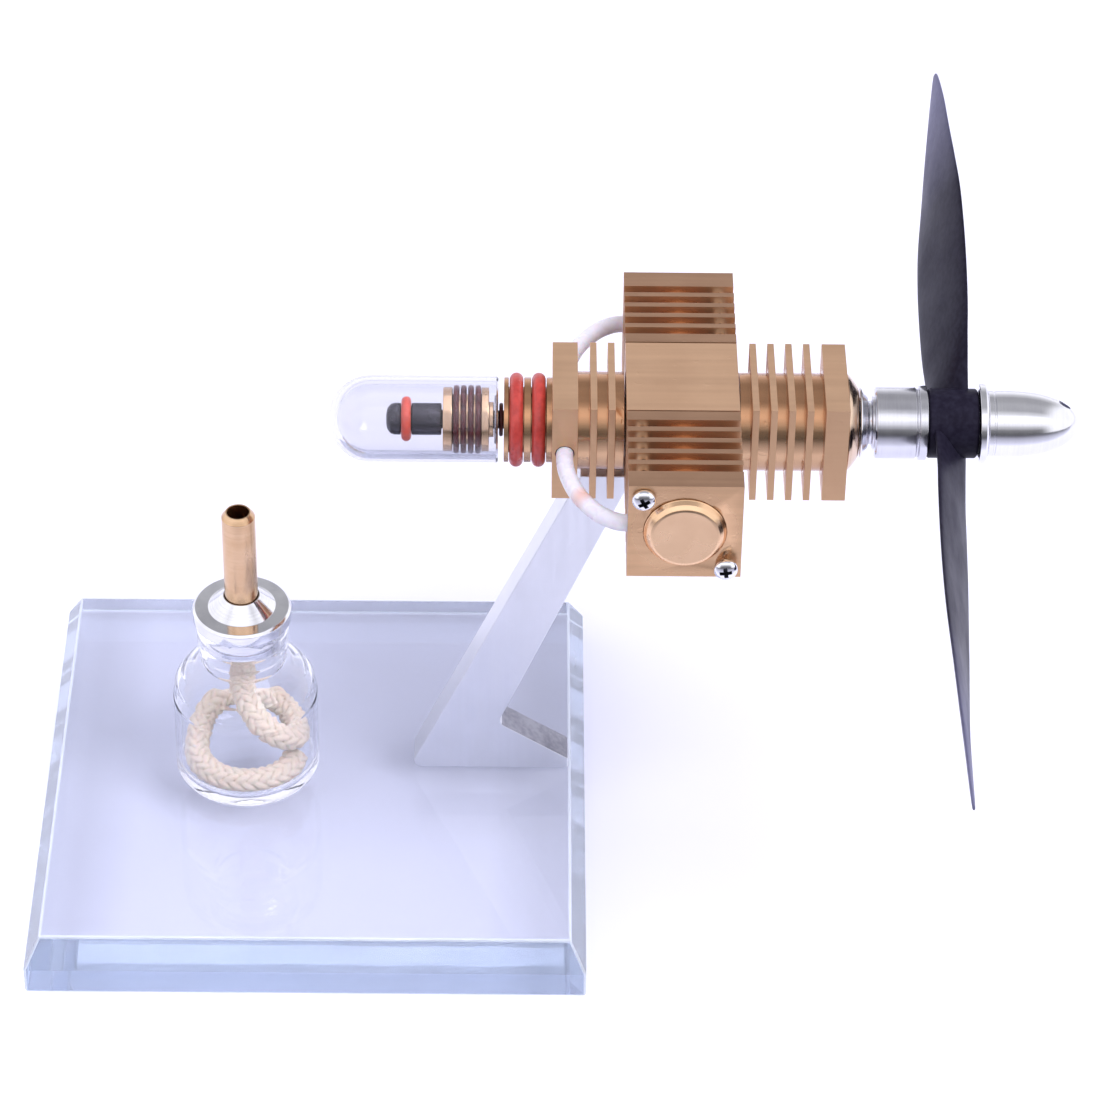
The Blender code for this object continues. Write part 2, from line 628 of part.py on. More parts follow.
def blade_mesh(name, direction):
    """Loft of twisted lens sections from inside the hub to the tip."""
    radial = Vector((0, math.cos(PROP_ANGLE), math.sin(PROP_ANGLE))) * direction
    shaft = Vector((1, 0, 0))
    across = shaft.cross(radial)
    bm = bmesh.new()
    rings = []
    for fraction, chord, thick, pitch, rake in BLADE:
        angle = math.radians(pitch)
        along = across * math.cos(angle) + shaft * math.sin(angle)
        normal = shaft * math.cos(angle) - across * math.sin(angle)
        centre = radial * (fraction * PROP_RADIUS) + shaft * (PROP_X + rake * MM)
        centre += across * (BLADE_SWEEP * math.sin(math.pi * fraction))
        ring = []
        for i in range(BLADE_SIDES):
            a = 2 * math.pi * i / BLADE_SIDES
            point = along * (math.cos(a) * chord / 2) + normal * (math.sin(a) * thick / 2)
            ring.append(bm.verts.new(centre + point * MM))
        rings.append(ring)
    for inner, outer in zip(rings, rings[1:]):
        for i in range(BLADE_SIDES):
            j = (i + 1) % BLADE_SIDES
            bm.faces.new((inner[i], inner[j], outer[j], outer[i]))
    bm.faces.new(reversed(rings[0]))
    bm.faces.new(rings[-1])
    bmesh.ops.recalc_face_normals(bm, faces=bm.faces)
    mesh = bpy.data.meshes.new(name)
    bm.to_mesh(mesh)
    bm.free()
    return mesh


def build_propeller(crank, black, silver):
    hub = turned("propeller", rod_profile(HUB_RADIUS, *HUB), 24, black, rotation=ALONG_X, parent=crank)
    for direction, name in ((1, "blade_back"), (-1, "blade_front")):
        blade = add_object(name, blade_mesh(name, direction), parent=crank)
        boolean(hub, blade, "UNION")
    drill(hub, BORE, HUB[0] - MM, HUB[1] + MM, ALONG_X, parent=crank)

    collar = [(4.7 * MM, 32.55 * MM), (6.3 * MM, 31.1 * MM), (BORE, 31.1 * MM), (BORE, 32.55 * MM)]
    turned("thrust_collar", collar, 24, silver, closed=True, rotation=ALONG_X, parent=crank)
    adapter = [(6.55 * MM, HUB[0] - GAP / 2), (6.55 * MM, 41.5 * MM), (6.3 * MM, 41.5 * MM),
               (6.3 * MM, 34.1 * MM), (5.9 * MM, 33.8 * MM), (3.8 * MM, 33.8 * MM),
               (3.8 * MM, 32.7 * MM), (BORE, 32.7 * MM), (BORE, HUB[0] - GAP / 2)]
    turned("prop_adapter", adapter, 28, silver, closed=True, rotation=ALONG_X, parent=crank)
    washer = ring_profile(BORE, 7.05 * MM, HUB[1] + GAP / 2, 53.3 * MM)
    turned("prop_washer", washer, 28, silver, closed=True, rotation=ALONG_X, parent=crank)
    build_spinner(crank, silver)


SPINNER = (53.45 * MM, 69.6 * MM)
SPINNER_RADIUS = 5.85 * MM
SPINNER_BAND = 3.2 * MM     # length of its cylindrical part
OGIVE_POWER = 2.3
TOMMY_HOLE_X = 66.8 * MM
TOMMY_HOLE_RADIUS = 1.25 * MM
TOMMY_HOLE_TILT = math.radians(20)      # of the hole from upright, when the shaft is at rest


def build_spinner(crank, silver):
    """Short cylinder and ogive, drilled across for a tommy bar."""
    low, high = SPINNER
    shoulder = low + SPINNER_BAND
    steps = 7
    profile = [(0, high)]
    for t in (i / steps for i in range(steps - 1, -1, -1)):
        profile.append((SPINNER_RADIUS * math.sqrt(1 - t ** OGIVE_POWER),
                        shoulder + (high - shoulder) * t))
    hole_end = SHAFT_END + MM
    profile += [(SPINNER_RADIUS, low), (BORE, low), (BORE, hole_end), (0, hole_end)]
    obj = turned("spinner_nut", profile, 24, silver, rotation=ALONG_X, parent=crank)
    drill(obj, TOMMY_HOLE_RADIUS, -HALF, HALF, (-TOMMY_HOLE_TILT, 0, 0), (TOMMY_HOLE_X, 0, 0), crank, 8)


# ------------------------------------------------------------- spirit lamp

BOTTLE_WALL = 1.0 * MM
BOTTLE_HEIGHT = 34.7 * MM
COLLAR_Z = BOTTLE_HEIGHT + 3.0 * MM     # the collar's flat top
PLUG_Z = BOTTLE_HEIGHT - 5.0 * MM       # the collar's end inside the neck
TUBE_Z = (28.7 * MM, 59.2 * MM)         # ends of the wick tube


def build_lamp(glass, silver, brass, cotton):
    """Bottle, push-in collar, wick tube and the braided wick coiled inside."""
    lamp = add_empty("lamp", LAMP)
    r, w = BOTTLE_RADIUS, BOTTLE_WALL
    outer = [(8.1, 34.7), (8.4, 34.0), (8.4, 31.6), (7.9, 31.0), (8.2, 30.4), (8.2, 28.6), (7.6, 27.8),
             (7.6, 25.8), (8.8, 24.3), (11.2, 22.6), (12.7, 20.4)]
    inner = [(11.7, 19.8), (10.5, 21.7), (8.6, 23.2), (6.8, 25.0), (6.8, 34.7)]
    profile = [(x * MM, z * MM) for x, z in outer]
    profile += [(r, 17.4 * MM), (r, 1.6 * MM), (r - 0.5 * MM, 0.5 * MM), (r - 1.5 * MM, 0), (0, 0),
                (0, 1.2 * MM), (r - 2.8 * MM, 1.2 * MM), (r - w - 0.4 * MM, 2.6 * MM),
                (r - w, 4.0 * MM), (r - w, 17.2 * MM)]
    profile += [(x * MM, z * MM) for x, z in inner]
    turned("lamp_bottle", profile, 28, glass, closed=True, parent=lamp)

    top, plug = COLLAR_Z, PLUG_Z
    seat = BOTTLE_HEIGHT + GAP
    collar = [(3.25 * MM, top + 2.6 * MM), (6.0 * MM, top), (8.4 * MM, top), (8.9 * MM, top - 0.5 * MM),
              (8.9 * MM, seat), (6.5 * MM, seat), (6.5 * MM, plug + 0.5 * MM), (5.5 * MM, plug),
              (3.25 * MM, plug)]
    turned("lamp_collar", collar, 28, silver, closed=True, parent=lamp)
    low, high = TUBE_Z
    tube = [(2.3 * MM, high), (3.0 * MM, high - 1.0 * MM), (3.0 * MM, low), (2.0 * MM, low),
            (2.0 * MM, high)]
    turned("wick_tube", tube, 20, brass, closed=True, parent=lamp)
    points = [tuple(c * MM for c in point) for point in WICK_ROUTE]
    round_tube("wick", smooth_curve(points, 2.2 * WICK_RADIUS), WICK_RADIUS, cotton, lamp)


# Wick, in millimetres in the lamp's frame, from its end under the tube
WICK_ROUTE = ((0.0, 0.0, 28.3), (0.0, -0.2, 26.0), (-0.3, -0.8, 22.5), (-0.2, -1.8, 18.9),
              (1.1, -3.2, 15.8), (3.4, -4.5, 13.0), (6.4, -4.6, 10.8), (8.7, -2.6, 8.9),
              (9.2, 1.2, 8.2), (7.9, 4.8, 8.1), (5.0, 7.7, 8.5), (0.9, 8.7, 9.2),
              (-3.4, 7.7, 9.6), (-7.0, 5.2, 8.9), (-9.0, 1.4, 6.8), (-8.8, -3.2, 4.6),
              (-5.8, -7.0, 3.8), (-1.4, -8.9, 3.7), (3.7, -8.4, 3.7), (7.4, -5.5, 3.7),
              (8.9, -1.4, 3.7))


def main():
    brass = make_material("brass", (0.60, 0.40, 0.24), 0.35, 1.0)
    bright_brass = make_material("bright_brass", (0.75, 0.52, 0.32), 0.28, 1.0)
    bronze = make_material("bronze", (0.50, 0.30, 0.14), 0.4, 1.0)
    steel = make_material("steel", (0.50, 0.50, 0.52), 0.3, 1.0)
    aluminium = make_material("satin_aluminium", (0.72, 0.72, 0.80), 0.5, 1.0)
    silver = make_material("polished_aluminium", (0.85, 0.85, 0.88), 0.15, 1.0)
    clear = make_material("clear_glass", (0.95, 0.97, 0.99), 0.02, 0.0, 1.0)
    crystal = make_material("crystal_glass", (0.82, 0.86, 0.98), 0.03, 0.0, 0.9)
    red = make_material("red_silicone", (0.55, 0.06, 0.04), 0.45)
    orange = make_material("orange_silicone", (0.70, 0.10, 0.04), 0.45)
    brown = make_material("brown_rubber", (0.16, 0.06, 0.05), 0.5)
    silicone = make_material("milky_silicone", (0.80, 0.78, 0.80), 0.3, 0.0, 0.3)
    black = make_material("black_plastic", (0.02, 0.018, 0.03), 0.35)
    graphite = make_material("graphite", (0.05, 0.05, 0.055), 0.5)
    cotton = make_material("cotton", (0.85, 0.78, 0.66), 0.9)

    build_base(crystal)
    build_bracket(aluminium)
    engine = add_empty("engine", ENGINE)
    build_crankcase(engine, brass)
    build_cold_end(engine, brass)
    build_nose(engine, brass)
    build_gland(engine, bronze)
    build_bearings(engine, bronze, steel)
    build_seals(engine, red)
    build_tubes(engine, silicone)
    build_screws(engine, steel)

    crank = add_empty("crank_axis", (0, 0, 0), engine)
    build_crankshaft(crank, steel)
    build_propeller(crank, black, silver)
    for side in (-1, 1):
        build_cylinder(engine, side, brass, bright_brass)
        build_eccentric(crank, side, bronze)
        build_piston(engine, side, steel, graphite, aluminium)

    slide = add_empty("displacer_axis", (0, 0, 0), engine)
    build_displacer(slide, (clear, brass, steel, orange, brown))
    build_lamp(clear, silver, brass, cotton)


clear_scene()
PARTS = make_collection(OBJECT_NAME)
CUTTERS = make_collection("cutters")
main()
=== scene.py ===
"""Looks of the hot-air engine model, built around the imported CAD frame.

The CAD nodes give every place and size.  Turned pieces are made again with
fine, rounded profiles, milled pieces get small edge bevels, the wick gets its
braid, and every piece gets a procedural material.
"""
import json
import math

import bmesh
import bpy
from mathutils import Matrix, Vector


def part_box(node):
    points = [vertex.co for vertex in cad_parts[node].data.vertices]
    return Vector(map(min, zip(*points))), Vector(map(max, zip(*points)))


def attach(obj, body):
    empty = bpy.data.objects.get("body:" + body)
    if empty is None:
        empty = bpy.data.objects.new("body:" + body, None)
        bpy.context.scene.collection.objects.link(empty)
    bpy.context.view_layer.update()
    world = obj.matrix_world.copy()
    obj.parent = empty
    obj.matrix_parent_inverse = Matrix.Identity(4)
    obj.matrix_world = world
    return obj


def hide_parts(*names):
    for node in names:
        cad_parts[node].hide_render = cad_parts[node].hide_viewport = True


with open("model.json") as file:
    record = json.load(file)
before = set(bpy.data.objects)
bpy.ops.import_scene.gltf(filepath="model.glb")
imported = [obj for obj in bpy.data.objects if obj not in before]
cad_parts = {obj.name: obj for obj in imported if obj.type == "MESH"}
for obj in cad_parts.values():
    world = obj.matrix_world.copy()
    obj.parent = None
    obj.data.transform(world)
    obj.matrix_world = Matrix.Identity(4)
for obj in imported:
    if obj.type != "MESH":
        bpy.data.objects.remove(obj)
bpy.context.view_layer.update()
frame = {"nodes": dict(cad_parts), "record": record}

MM = 0.001
NODES = frame["nodes"]
RECORD = frame["record"]
BODY = {node: body for body, nodes in RECORD["behaviour"]["bodies"].items() for node in nodes}

LOW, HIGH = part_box("crankcase")
ENGINE = (LOW + HIGH) / 2       # where the shaft crosses the line of the cylinders
HALF = (HIGH.x - LOW.x) / 2     # half of the crankcase's length, and clear of the spinner's radius
ALONG_X = Matrix.Translation(ENGINE) @ Matrix.Rotation(math.pi / 2, 4, "Y")


# --- helpers ---

class Tree:
    """A node tree, with helpers that add nodes to it and return their outputs."""

    def __init__(self, tree):
        self.nodes = tree.nodes
        self.links = tree.links

    def node(self, kind, **inputs):
        """A node of that kind; names are its inputs, values are numbers or other outputs."""
        made = self.nodes.new(f"ShaderNode{kind}")
        for key, value in inputs.items():
            socket = made.inputs[key.replace("_", " ")]
            if isinstance(value, bpy.types.NodeSocket):
                self.links.new(value, socket)
            else:
                socket.default_value = value
        return made

    def place(self, kind="Object"):
        """Coordinates of a kind that Blender names; the "Object" ones are in metres."""
        return self.node("TexCoord").outputs[kind]

    def parts(self, vector):
        """The "X", "Y" and "Z" outputs of a vector."""
        return self.node("SeparateXYZ", Vector=vector).outputs

    def math(self, operation, first, second=None, clamp=False):
        """The result of a math node on outputs or numbers."""
        made = self.node("Math", Value=first)
        made.operation = operation
        made.use_clamp = clamp
        if isinstance(second, bpy.types.NodeSocket):
            self.links.new(second, made.inputs[1])
        elif second is not None:
            made.inputs[1].default_value = second
        return made.outputs[0]

    def vector(self, operation, first, second=None):
        """The outputs of a vector node: "Vector", and "Value" for a length or a distance."""
        made = self.node("VectorMath", Vector=first)
        made.operation = operation
        if second is not None:
            made.inputs[1].default_value = second
        return made.outputs

    def ramp(self, value, *stops):
        """Map a value to greys or colours given as (position, colour)."""
        made = self.node("ValToRGB", Fac=value)
        elements = made.color_ramp.elements
        for index, (position, colour) in enumerate(stops):
            stop = elements[index] if index < 2 else elements.new(position)
            stop.position = position
            stop.color = (*colour, 1) if isinstance(colour, tuple) else (colour, colour, colour, 1)
        return made.outputs["Color"]

    def mix(self, factor, first, second, operation="MIX"):
        """Blend two colours; the factor is the share of the second."""
        made = self.node("MixRGB", Fac=factor, Color1=first, Color2=second)
        made.blend_type = operation
        return made.outputs[0]


def mesh_of(bm, name):
    """Turn a finished bmesh into a named mesh."""
    mesh = bpy.data.meshes.new(name)
    bm.to_mesh(mesh)
    bm.free()
    return mesh


def skin(bm, rings):
    """Join each ring of vertices to the next by four-sided faces; the result lists them."""
    faces = []
    for a, b in zip(rings, rings[1:]):
        for i in range(len(a)):
            j = (i + 1) % len(a)
            faces.append(bm.faces.new((a[i], a[j], b[j], b[i])))
    return faces


# --- camera ---

CAMERA_PLACE = Vector((36.95, -618.23, 561.28)) * MM
CAMERA_YAW = 0.00972            # radians to the right of +Y
CAMERA_PITCH = 0.67942          # radians below the horizon
CAMERA_ROLL = 0.01426           # radians, its right side up
CAMERA_LENS = 145.74            # millimetres, over a sensor 36 mm wide


def make_camera():
    """The scene's camera, aimed by its yaw, pitch and roll."""
    data = bpy.data.cameras.new("camera")
    data.sensor_width = 36
    data.lens = CAMERA_LENS
    data.clip_start = 0.01
    data.clip_end = 20
    camera = bpy.data.objects.new("camera", data)
    bpy.context.scene.collection.objects.link(camera)
    ahead = Vector((math.sin(CAMERA_YAW) * math.cos(CAMERA_PITCH),
                    math.cos(CAMERA_YAW) * math.cos(CAMERA_PITCH), -math.sin(CAMERA_PITCH)))
    level = Vector((math.cos(CAMERA_YAW), -math.sin(CAMERA_YAW), 0))
    above = level.cross(ahead)
    right = level * math.cos(CAMERA_ROLL) + above * math.sin(CAMERA_ROLL)
    up = above * math.cos(CAMERA_ROLL) - level * math.sin(CAMERA_ROLL)
    turn_to = Matrix((right, up, -ahead)).transposed()
    camera.matrix_world = Matrix.Translation(CAMERA_PLACE) @ turn_to.to_4x4()
    bpy.context.scene.camera = camera


# --- stage ---

# Brightness of the studio round the shaft's axis: degrees from the horizon in front, over the
# top, to the horizon behind, and the light that comes from there
STUDIO = ((0, 0.16), (12, 0.24), (22, 0.60), (34, 1.15), (48, 1.60), (60, 1.40), (72, 0.80),
          (84, 0.50), (106, 0.52), (124, 0.44), (138, 0.44), (152, 0.68), (165, 1.05), (180, 1.35))
SIDE_LIGHT = 1.25
# Share of a direction along X over which the sides' light sets in
SIDE_FROM, SIDE_TO = 0.45, 0.72
STUDIO_BLUE = 1.06              # blue over red and green in the studio's greys
STUDIO_FILL = 0.90              # share of it that lights matt surfaces
PAPER = (1.04, 1.04, 1.26)      # the paper sweep behind the scene, as the camera sees it


def make_world():
    """Soft studio for the reflections: dark in front, grey above, white sides and back."""
    world = bpy.data.worlds.new("studio")
    bpy.context.scene.world = world
    world.use_nodes = True
    tree = Tree(world.node_tree)
    tree.nodes.clear()
    towards = tree.parts(tree.place("Generated"))
    height = tree.math("ARCTAN2", towards["Z"], tree.math("MULTIPLY", towards["Y"], -1.0))
    angle = tree.math("DIVIDE", height, math.pi, clamp=True)
    greys = [(degrees / 180, (value, value, value * STUDIO_BLUE)) for degrees, value in STUDIO]
    around = tree.ramp(angle, *greys)
    around.node.color_ramp.interpolation = "EASE"
    side = tree.node("MapRange", Value=tree.math("ABSOLUTE", towards["X"]), From_Min=SIDE_FROM,
                     From_Max=SIDE_TO)
    side.interpolation_type = "SMOOTHSTEP"
    studio = tree.mix(side.outputs[0], around, (SIDE_LIGHT, SIDE_LIGHT, SIDE_LIGHT * STUDIO_BLUE, 1))
    path = tree.node("LightPath").outputs
    seen = tree.math("MAXIMUM", path["Is Camera Ray"], path["Is Transmission Ray"])
    dimmed = tree.math("MULTIPLY", path["Is Diffuse Ray"], STUDIO_FILL - 1)
    background = tree.node("Background", Color=tree.mix(seen, studio, (*PAPER, 1)),
                           Strength=tree.math("ADD", dimmed, 1.0))
    tree.node("OutputWorld", Surface=background.outputs[0])


# Soft round lamps: name, place, diameter in metres, watts, and where they aim
LAMPS = (("overhead", (0.1, 0.1, 1.4), 1.6, 7, (0.03, 0, 0)),
         ("left", (-0.9, -0.7, 0.8), 0.8, 1, (0.03, 0, 0.05)),
         ("key", (0.85, -0.55, 1.4), 0.9, 12, (0.03, 0, 0)))
LAMP_COLOUR = (0.90, 0.90, 1.0)


def area_light(name, place, size, power, aim):
    """A soft lamp that neither the camera nor a gloss reflection shows."""
    data = bpy.data.lights.new(name, "AREA")
    data.shape = "DISK"
    data.size = size
    data.energy = power
    data.color = LAMP_COLOUR
    light = bpy.data.objects.new(name, data)
    light.location = place
    light.rotation_euler = (Vector(aim) - Vector(place)).to_track_quat("-Z", "Y").to_euler()
    light.visible_glossy = False
    light.visible_camera = False
    bpy.context.scene.collection.objects.link(light)


FLOOR_DROP = 0.2 * MM           # the floor lies this much under the base, so they never touch
FLOOR_HALF = 4                  # half of the floor's width, in metres
PAPER_TONE = Vector((0.88, 0.88, 1.0))
# Share of that tone at distances in front of the engine, in metres
FLOOR_FADE = ((0.85, 0.08), (0.49, 0.20), (0.27, 0.42), (0.16, 0.60), (0.12, 0.74), (0.09, 1.0))


def floor_material():
    """Pale lavender paper whose light falls off in front of the picture."""
    paper = Surface("floor_paper", PAPER_TONE, 0.9)
    forward = paper.math("MULTIPLY", paper.parts(paper.place())["Y"], -1.0)
    stops = [(distance, tuple(PAPER_TONE * tone)) for distance, tone in FLOOR_FADE]
    paper.colour(forward, *reversed(stops))
    return paper.material


def make_stage():
    """World, lamps, floor and the settings that the glass needs."""
    make_world()
    for lamp in LAMPS:
        area_light(*lamp)
    bm = bmesh.new()
    bmesh.ops.create_grid(bm, x_segments=2, y_segments=2, size=FLOOR_HALF)
    mesh = mesh_of(bm, "floor")
    floor = bpy.data.objects.new("floor", mesh)
    floor.location.z = -FLOOR_DROP
    bpy.context.scene.collection.objects.link(floor)
    mesh.materials.append(floor_material())
    scene = bpy.context.scene
    scene.view_settings.view_transform = "Standard"
    scene.cycles.use_denoising = True
    scene.cycles.transmission_bounces = 16
    scene.cycles.glossy_bounces = 16
    scene.cycles.max_bounces = 20


# --- materials ---

class Surface(Tree):
    """A Principled material, with helpers for the nodes that vary it."""

    def __init__(self, name, colour, roughness, metallic=0.0, **constants):
        self.material = bpy.data.materials.new(name)
        self.material.use_nodes = True
        super().__init__(self.material.node_tree)
        self.shader = self.nodes["Principled BSDF"]
        self.shader.inputs["Base Color"].default_value = (*colour, 1)
        self.shader.inputs["Roughness"].default_value = roughness
        self.shader.inputs["Metallic"].default_value = metallic
        for key, value in constants.items():
            self.shader.inputs[key.replace("_", " ")].default_value = value

    def noise(self, scale, detail, stretch=(1, 1, 1), kind="Object"):
        """Soft noise from 0 to 1; scale is its features per metre, before the stretch."""
        place = self.node("Mapping", Vector=self.place(kind), Scale=stretch)
        made = self.node("TexNoise", Vector=place.outputs[0], Scale=scale, Detail=detail)
        return made.outputs["Fac"]

    def paint(self, colour):
        """Use a node's output as the surface's colour."""
        self.links.new(colour, self.shader.inputs["Base Color"])

    def colour(self, value, *stops):
        """Colour the surface by a value."""
        self.paint(self.ramp(value, *stops))

    def roughness(self, value, low, high, between_fins=None):
        """Roughness from low to high; where the last argument is 1 it is less than half of that."""
        made = self.node("MapRange", Value=value, From_Min=0.3, From_Max=0.7, To_Min=low, To_Max=high)
        result = made.outputs[0]
        if between_fins is not None:
            share = self.node("MapRange", Value=between_fins, To_Min=1.0, To_Max=0.42)
            result = self.math("MULTIPLY", share.outputs[0], result)
        self.links.new(result, self.shader.inputs["Roughness"])

    def tinted(self, colour, tint):
        """A colour multiplied by a tint."""
        return self.mix(1.0, colour, (*tint, 1), "MULTIPLY")

    def facing(self, axis):
        """1 on faces across an axis ("X", "Y" or "Z"), 0 on the others."""
        size = self.math("ABSOLUTE", self.parts(self.place("Normal"))[axis])
        return self.ramp(size, (0.80, 0.0), (0.95, 1.0))

    def inside(self, axis, radius, fade_over=1 * MM):
        """1 within that distance of the engine's line along an axis, fading out round it."""
        offset = self.vector("SUBTRACT", self.place(), ENGINE)
        across = [0.0 if letter == axis else 1.0 for letter in "XYZ"]
        flat = self.vector("MULTIPLY", offset["Vector"], across)
        length = self.vector("LENGTH", flat["Vector"])
        fade = self.node("MapRange", Value=length["Value"], From_Min=radius + fade_over / 2,
                         From_Max=radius - fade_over / 2)
        return fade.outputs[0]

    def near(self, place, radius):
        """1 at a place, fading to 0 at that distance from it."""
        apart = self.vector("DISTANCE", self.place(), place)
        fade = self.node("MapRange", Value=apart["Value"], From_Min=radius, From_Max=0.0)
        return fade.outputs[0]

    def bump(self, *layers):
        """Stack (value, depth in metres) layers of bump on the surface."""
        normal = None
        for value, depth in layers:
            made = self.node("Bump", Height=value, Distance=depth, Strength=1.0)
            if normal is not None:
                self.links.new(normal, made.inputs["Normal"])
            normal = made.outputs[0]
        self.links.new(normal, self.shader.inputs["Normal"])


LATHE = 5200        # noise features of about 0.2 mm
FINE = 2600         # about 0.4 mm
GRAIN = 900         # about 1 mm
CLOUD = 120         # about 8 mm


def milled_metal(name, light, dark, roughness, lines, metallic=1.0, core=None, sides=None):
    """Drawn or milled metal: soft mottling, fine lines and a few nicks.

    core is the axis of a turned core, its radius and a tint of painted shade between the fins,
    where the metal is also smoother; sides is a tint of the faces across Y: painted shade
    where it is under 1, painted light where it is over 1.
    """
    surface = Surface(name, light, roughness, metallic)
    cloud = surface.noise(CLOUD, 4)
    streak = surface.noise(GRAIN, 4, lines)
    tone = surface.mix(0.5, cloud, streak)
    plain = surface.ramp(tone, (0.34, dark), (0.62, light))
    colour, between_fins = plain, None
    if core:
        axis, radius, tint = core
        # the cores between the fins: smoother there, and darkened by painted shade
        between_fins = surface.inside(axis, radius)
        colour = surface.mix(between_fins, plain, surface.tinted(plain, tint))
    if sides:
        # faces across Y: painted shade where the sides tint is under 1, painted light where it is over 1
        colour = surface.mix(surface.facing("Y"), colour, surface.tinted(plain, sides))
    surface.paint(colour)
    surface.roughness(streak, roughness - 0.07, roughness + 0.08, between_fins)
    nicks = surface.ramp(surface.noise(GRAIN * 0.7, 1), (0.70, 0.0), (0.76, 1.0))
    surface.bump((surface.noise(FINE, 2, lines), 0.004 * MM), (nicks, -0.02 * MM))
    return surface.material


def turned_metal(name, light, dark, roughness, axis):
    """Metal turned on a lathe: fine rings across the axis, and a soft handled haze."""
    surface = Surface(name, light, roughness, 1.0)
    rings = surface.noise(LATHE, 2, [1 if letter == axis else 0.02 for letter in "xyz"])
    haze = surface.noise(CLOUD * 2, 4)
    surface.colour(surface.mix(0.35, haze, rings), (0.36, dark), (0.60, light))
    surface.roughness(haze, roughness - 0.04, roughness + 0.06)
    surface.bump((rings, 0.003 * MM), (surface.noise(CLOUD * 3, 1), 0.002 * MM))
    return surface.material


def rubber(name, light, dark, roughness, see=0.0, scorch=None):
    """Matt rubber; see is its milkiness, scorch a burnt spot's place, radius and colour."""
    surface = Surface(name, light, roughness, 0.0, Subsurface_Weight=see, Subsurface_Scale=1.0 * MM)
    tone = surface.ramp(surface.noise(GRAIN, 3), (0.35, dark), (0.65, light))
    if scorch:
        place, radius, burnt = scorch
        tone = surface.mix(surface.near(place, radius), tone, (*burnt, 1))
    surface.paint(tone)
    surface.roughness(surface.noise(CLOUD * 2, 3), roughness - 0.08, roughness + 0.1)
    surface.bump((surface.noise(FINE, 3), 0.008 * MM))
    return surface.material


def glass(name, tint, ior):
    """Clear glass with a faint haze and slow waves."""
    surface = Surface(name, tint, 0.0, 0.0, Transmission_Weight=1.0, IOR=ior)
    surface.roughness(surface.noise(CLOUD, 2), 0.0, 0.012)
    surface.bump((surface.noise(CLOUD * 0.6, 1), 0.010 * MM))
    return surface.material


BRASS = (0.77, 0.495, 0.310)
BRASS_DARK = (0.69, 0.430, 0.265)
ROSE = (0.88, 0.59, 0.365)
SILVER = (0.83, 0.83, 0.86)
LINES_X = (0.03, 1, 1)          # stretch that draws a noise out into lines along X
LINES_Z = (1, 1, 0.05)
CORE_RADIUS = 9.0 * MM          # of the turned cores between the fins
# Burnt spot on the front gas tube, from the engine's centre
SCORCH_PLACE = Vector((-17.2, -22.6, 0.4)) * MM
SCORCH_RADIUS = 2.6 * MM
# Distance from the shaft where painted light greys the propeller, and how long that takes
TIP_MIDDLE, TIP_FADE = 58 * MM, 26 * MM


def cotton_material():
    """Undyed cotton, darkened and browned by painted shade down in the valleys of the braid."""
    surface = Surface("wick_cotton", (0.70, 0.61, 0.51), 0.85, 0.0, Sheen_Weight=0.25,
                      Subsurface_Weight=0.25, Subsurface_Scale=0.6 * MM)
    fibre = surface.noise(160, 4, (1, 0.25, 1), "UV")
    valley = surface.node("Attribute")
    valley.attribute_name = "valley"
    # painted shade: darker and browner where the braid is low
    surface.colour(surface.mix(0.25, valley.outputs["Fac"], fibre),
                   (0.20, (0.27, 0.18, 0.12)), (0.50, (0.54, 0.44, 0.34)), (0.85, (0.68, 0.58, 0.48)))
    surface.bump((fibre, 0.05 * MM))
    return surface.material


def propeller_material():
    """Moulded black plastic, greyer towards the tips of the blades: painted light."""
    surface = Surface("black_plastic", (0.02, 0.018, 0.03), 0.36, 0.0, Specular_IOR_Level=0.10,
                      IOR=1.30)
    middle = surface.inside("X", TIP_MIDDLE, TIP_FADE)
    grain = surface.noise(GRAIN, 3)
    body = surface.ramp(grain, (0.35, (0.012, 0.010, 0.020)), (0.65, (0.020, 0.018, 0.032)))
    # pale: painted light on the outer blades
    pale = surface.ramp(grain, (0.35, (0.140, 0.138, 0.225)), (0.65, (0.165, 0.162, 0.260)))
    surface.paint(surface.mix(middle, pale, body))
    surface.roughness(surface.noise(CLOUD, 3), 0.30, 0.44)
    surface.bump((surface.noise(FINE, 3), 0.006 * MM))
    return surface.material


def crystal_material(name, clearness, pale, deep):
    """Thick clear plate, with painted shade in bands near its sides and on its faces across Y, its front and
    back.
    """
    surface = Surface(name, pale, 0.0, 0.0, Transmission_Weight=clearness, IOR=1.50)
    cloud = surface.noise(28, 3)
    colour = surface.ramp(cloud, (0.35, deep), (0.65, pale))
    # painted shade: darker bands towards the plate's left and right sides
    reach = surface.math("ABSOLUTE", surface.parts(surface.place())["X"])
    span = surface.node("MapRange", Value=reach, From_Min=32 * MM, From_Max=50 * MM)
    band = surface.ramp(span.outputs[0], (0.0, 1.0), (0.55, 0.87), (1.0, 0.93))
    colour = surface.mix(1.0, colour, band, "MULTIPLY")
    # painted shade on the faces across Y
    colour = surface.mix(surface.facing("Y"), colour, surface.tinted(colour, (0.76, 0.79, 0.89)))
    surface.paint(colour)
    surface.roughness(cloud, 0.0, 0.015)
    surface.bump((surface.noise(CLOUD * 0.5, 1), 0.012 * MM))
    return surface.material


def arris_highlight_material():
    """Arris of the plate: a pale, half-clear copy of the crystal that paints a highlight along its edges."""
    surface = Surface("crystal_arris_highlight", (0.84, 0.89, 0.96), 0.20, 0.0, Transmission_Weight=0.60, IOR=1.50)
    surface.colour(surface.noise(CLOUD, 3), (0.35, (0.78, 0.84, 0.93)), (0.65, (0.86, 0.91, 0.97)))
    surface.roughness(surface.noise(GRAIN, 2), 0.12, 0.26)
    return surface.material


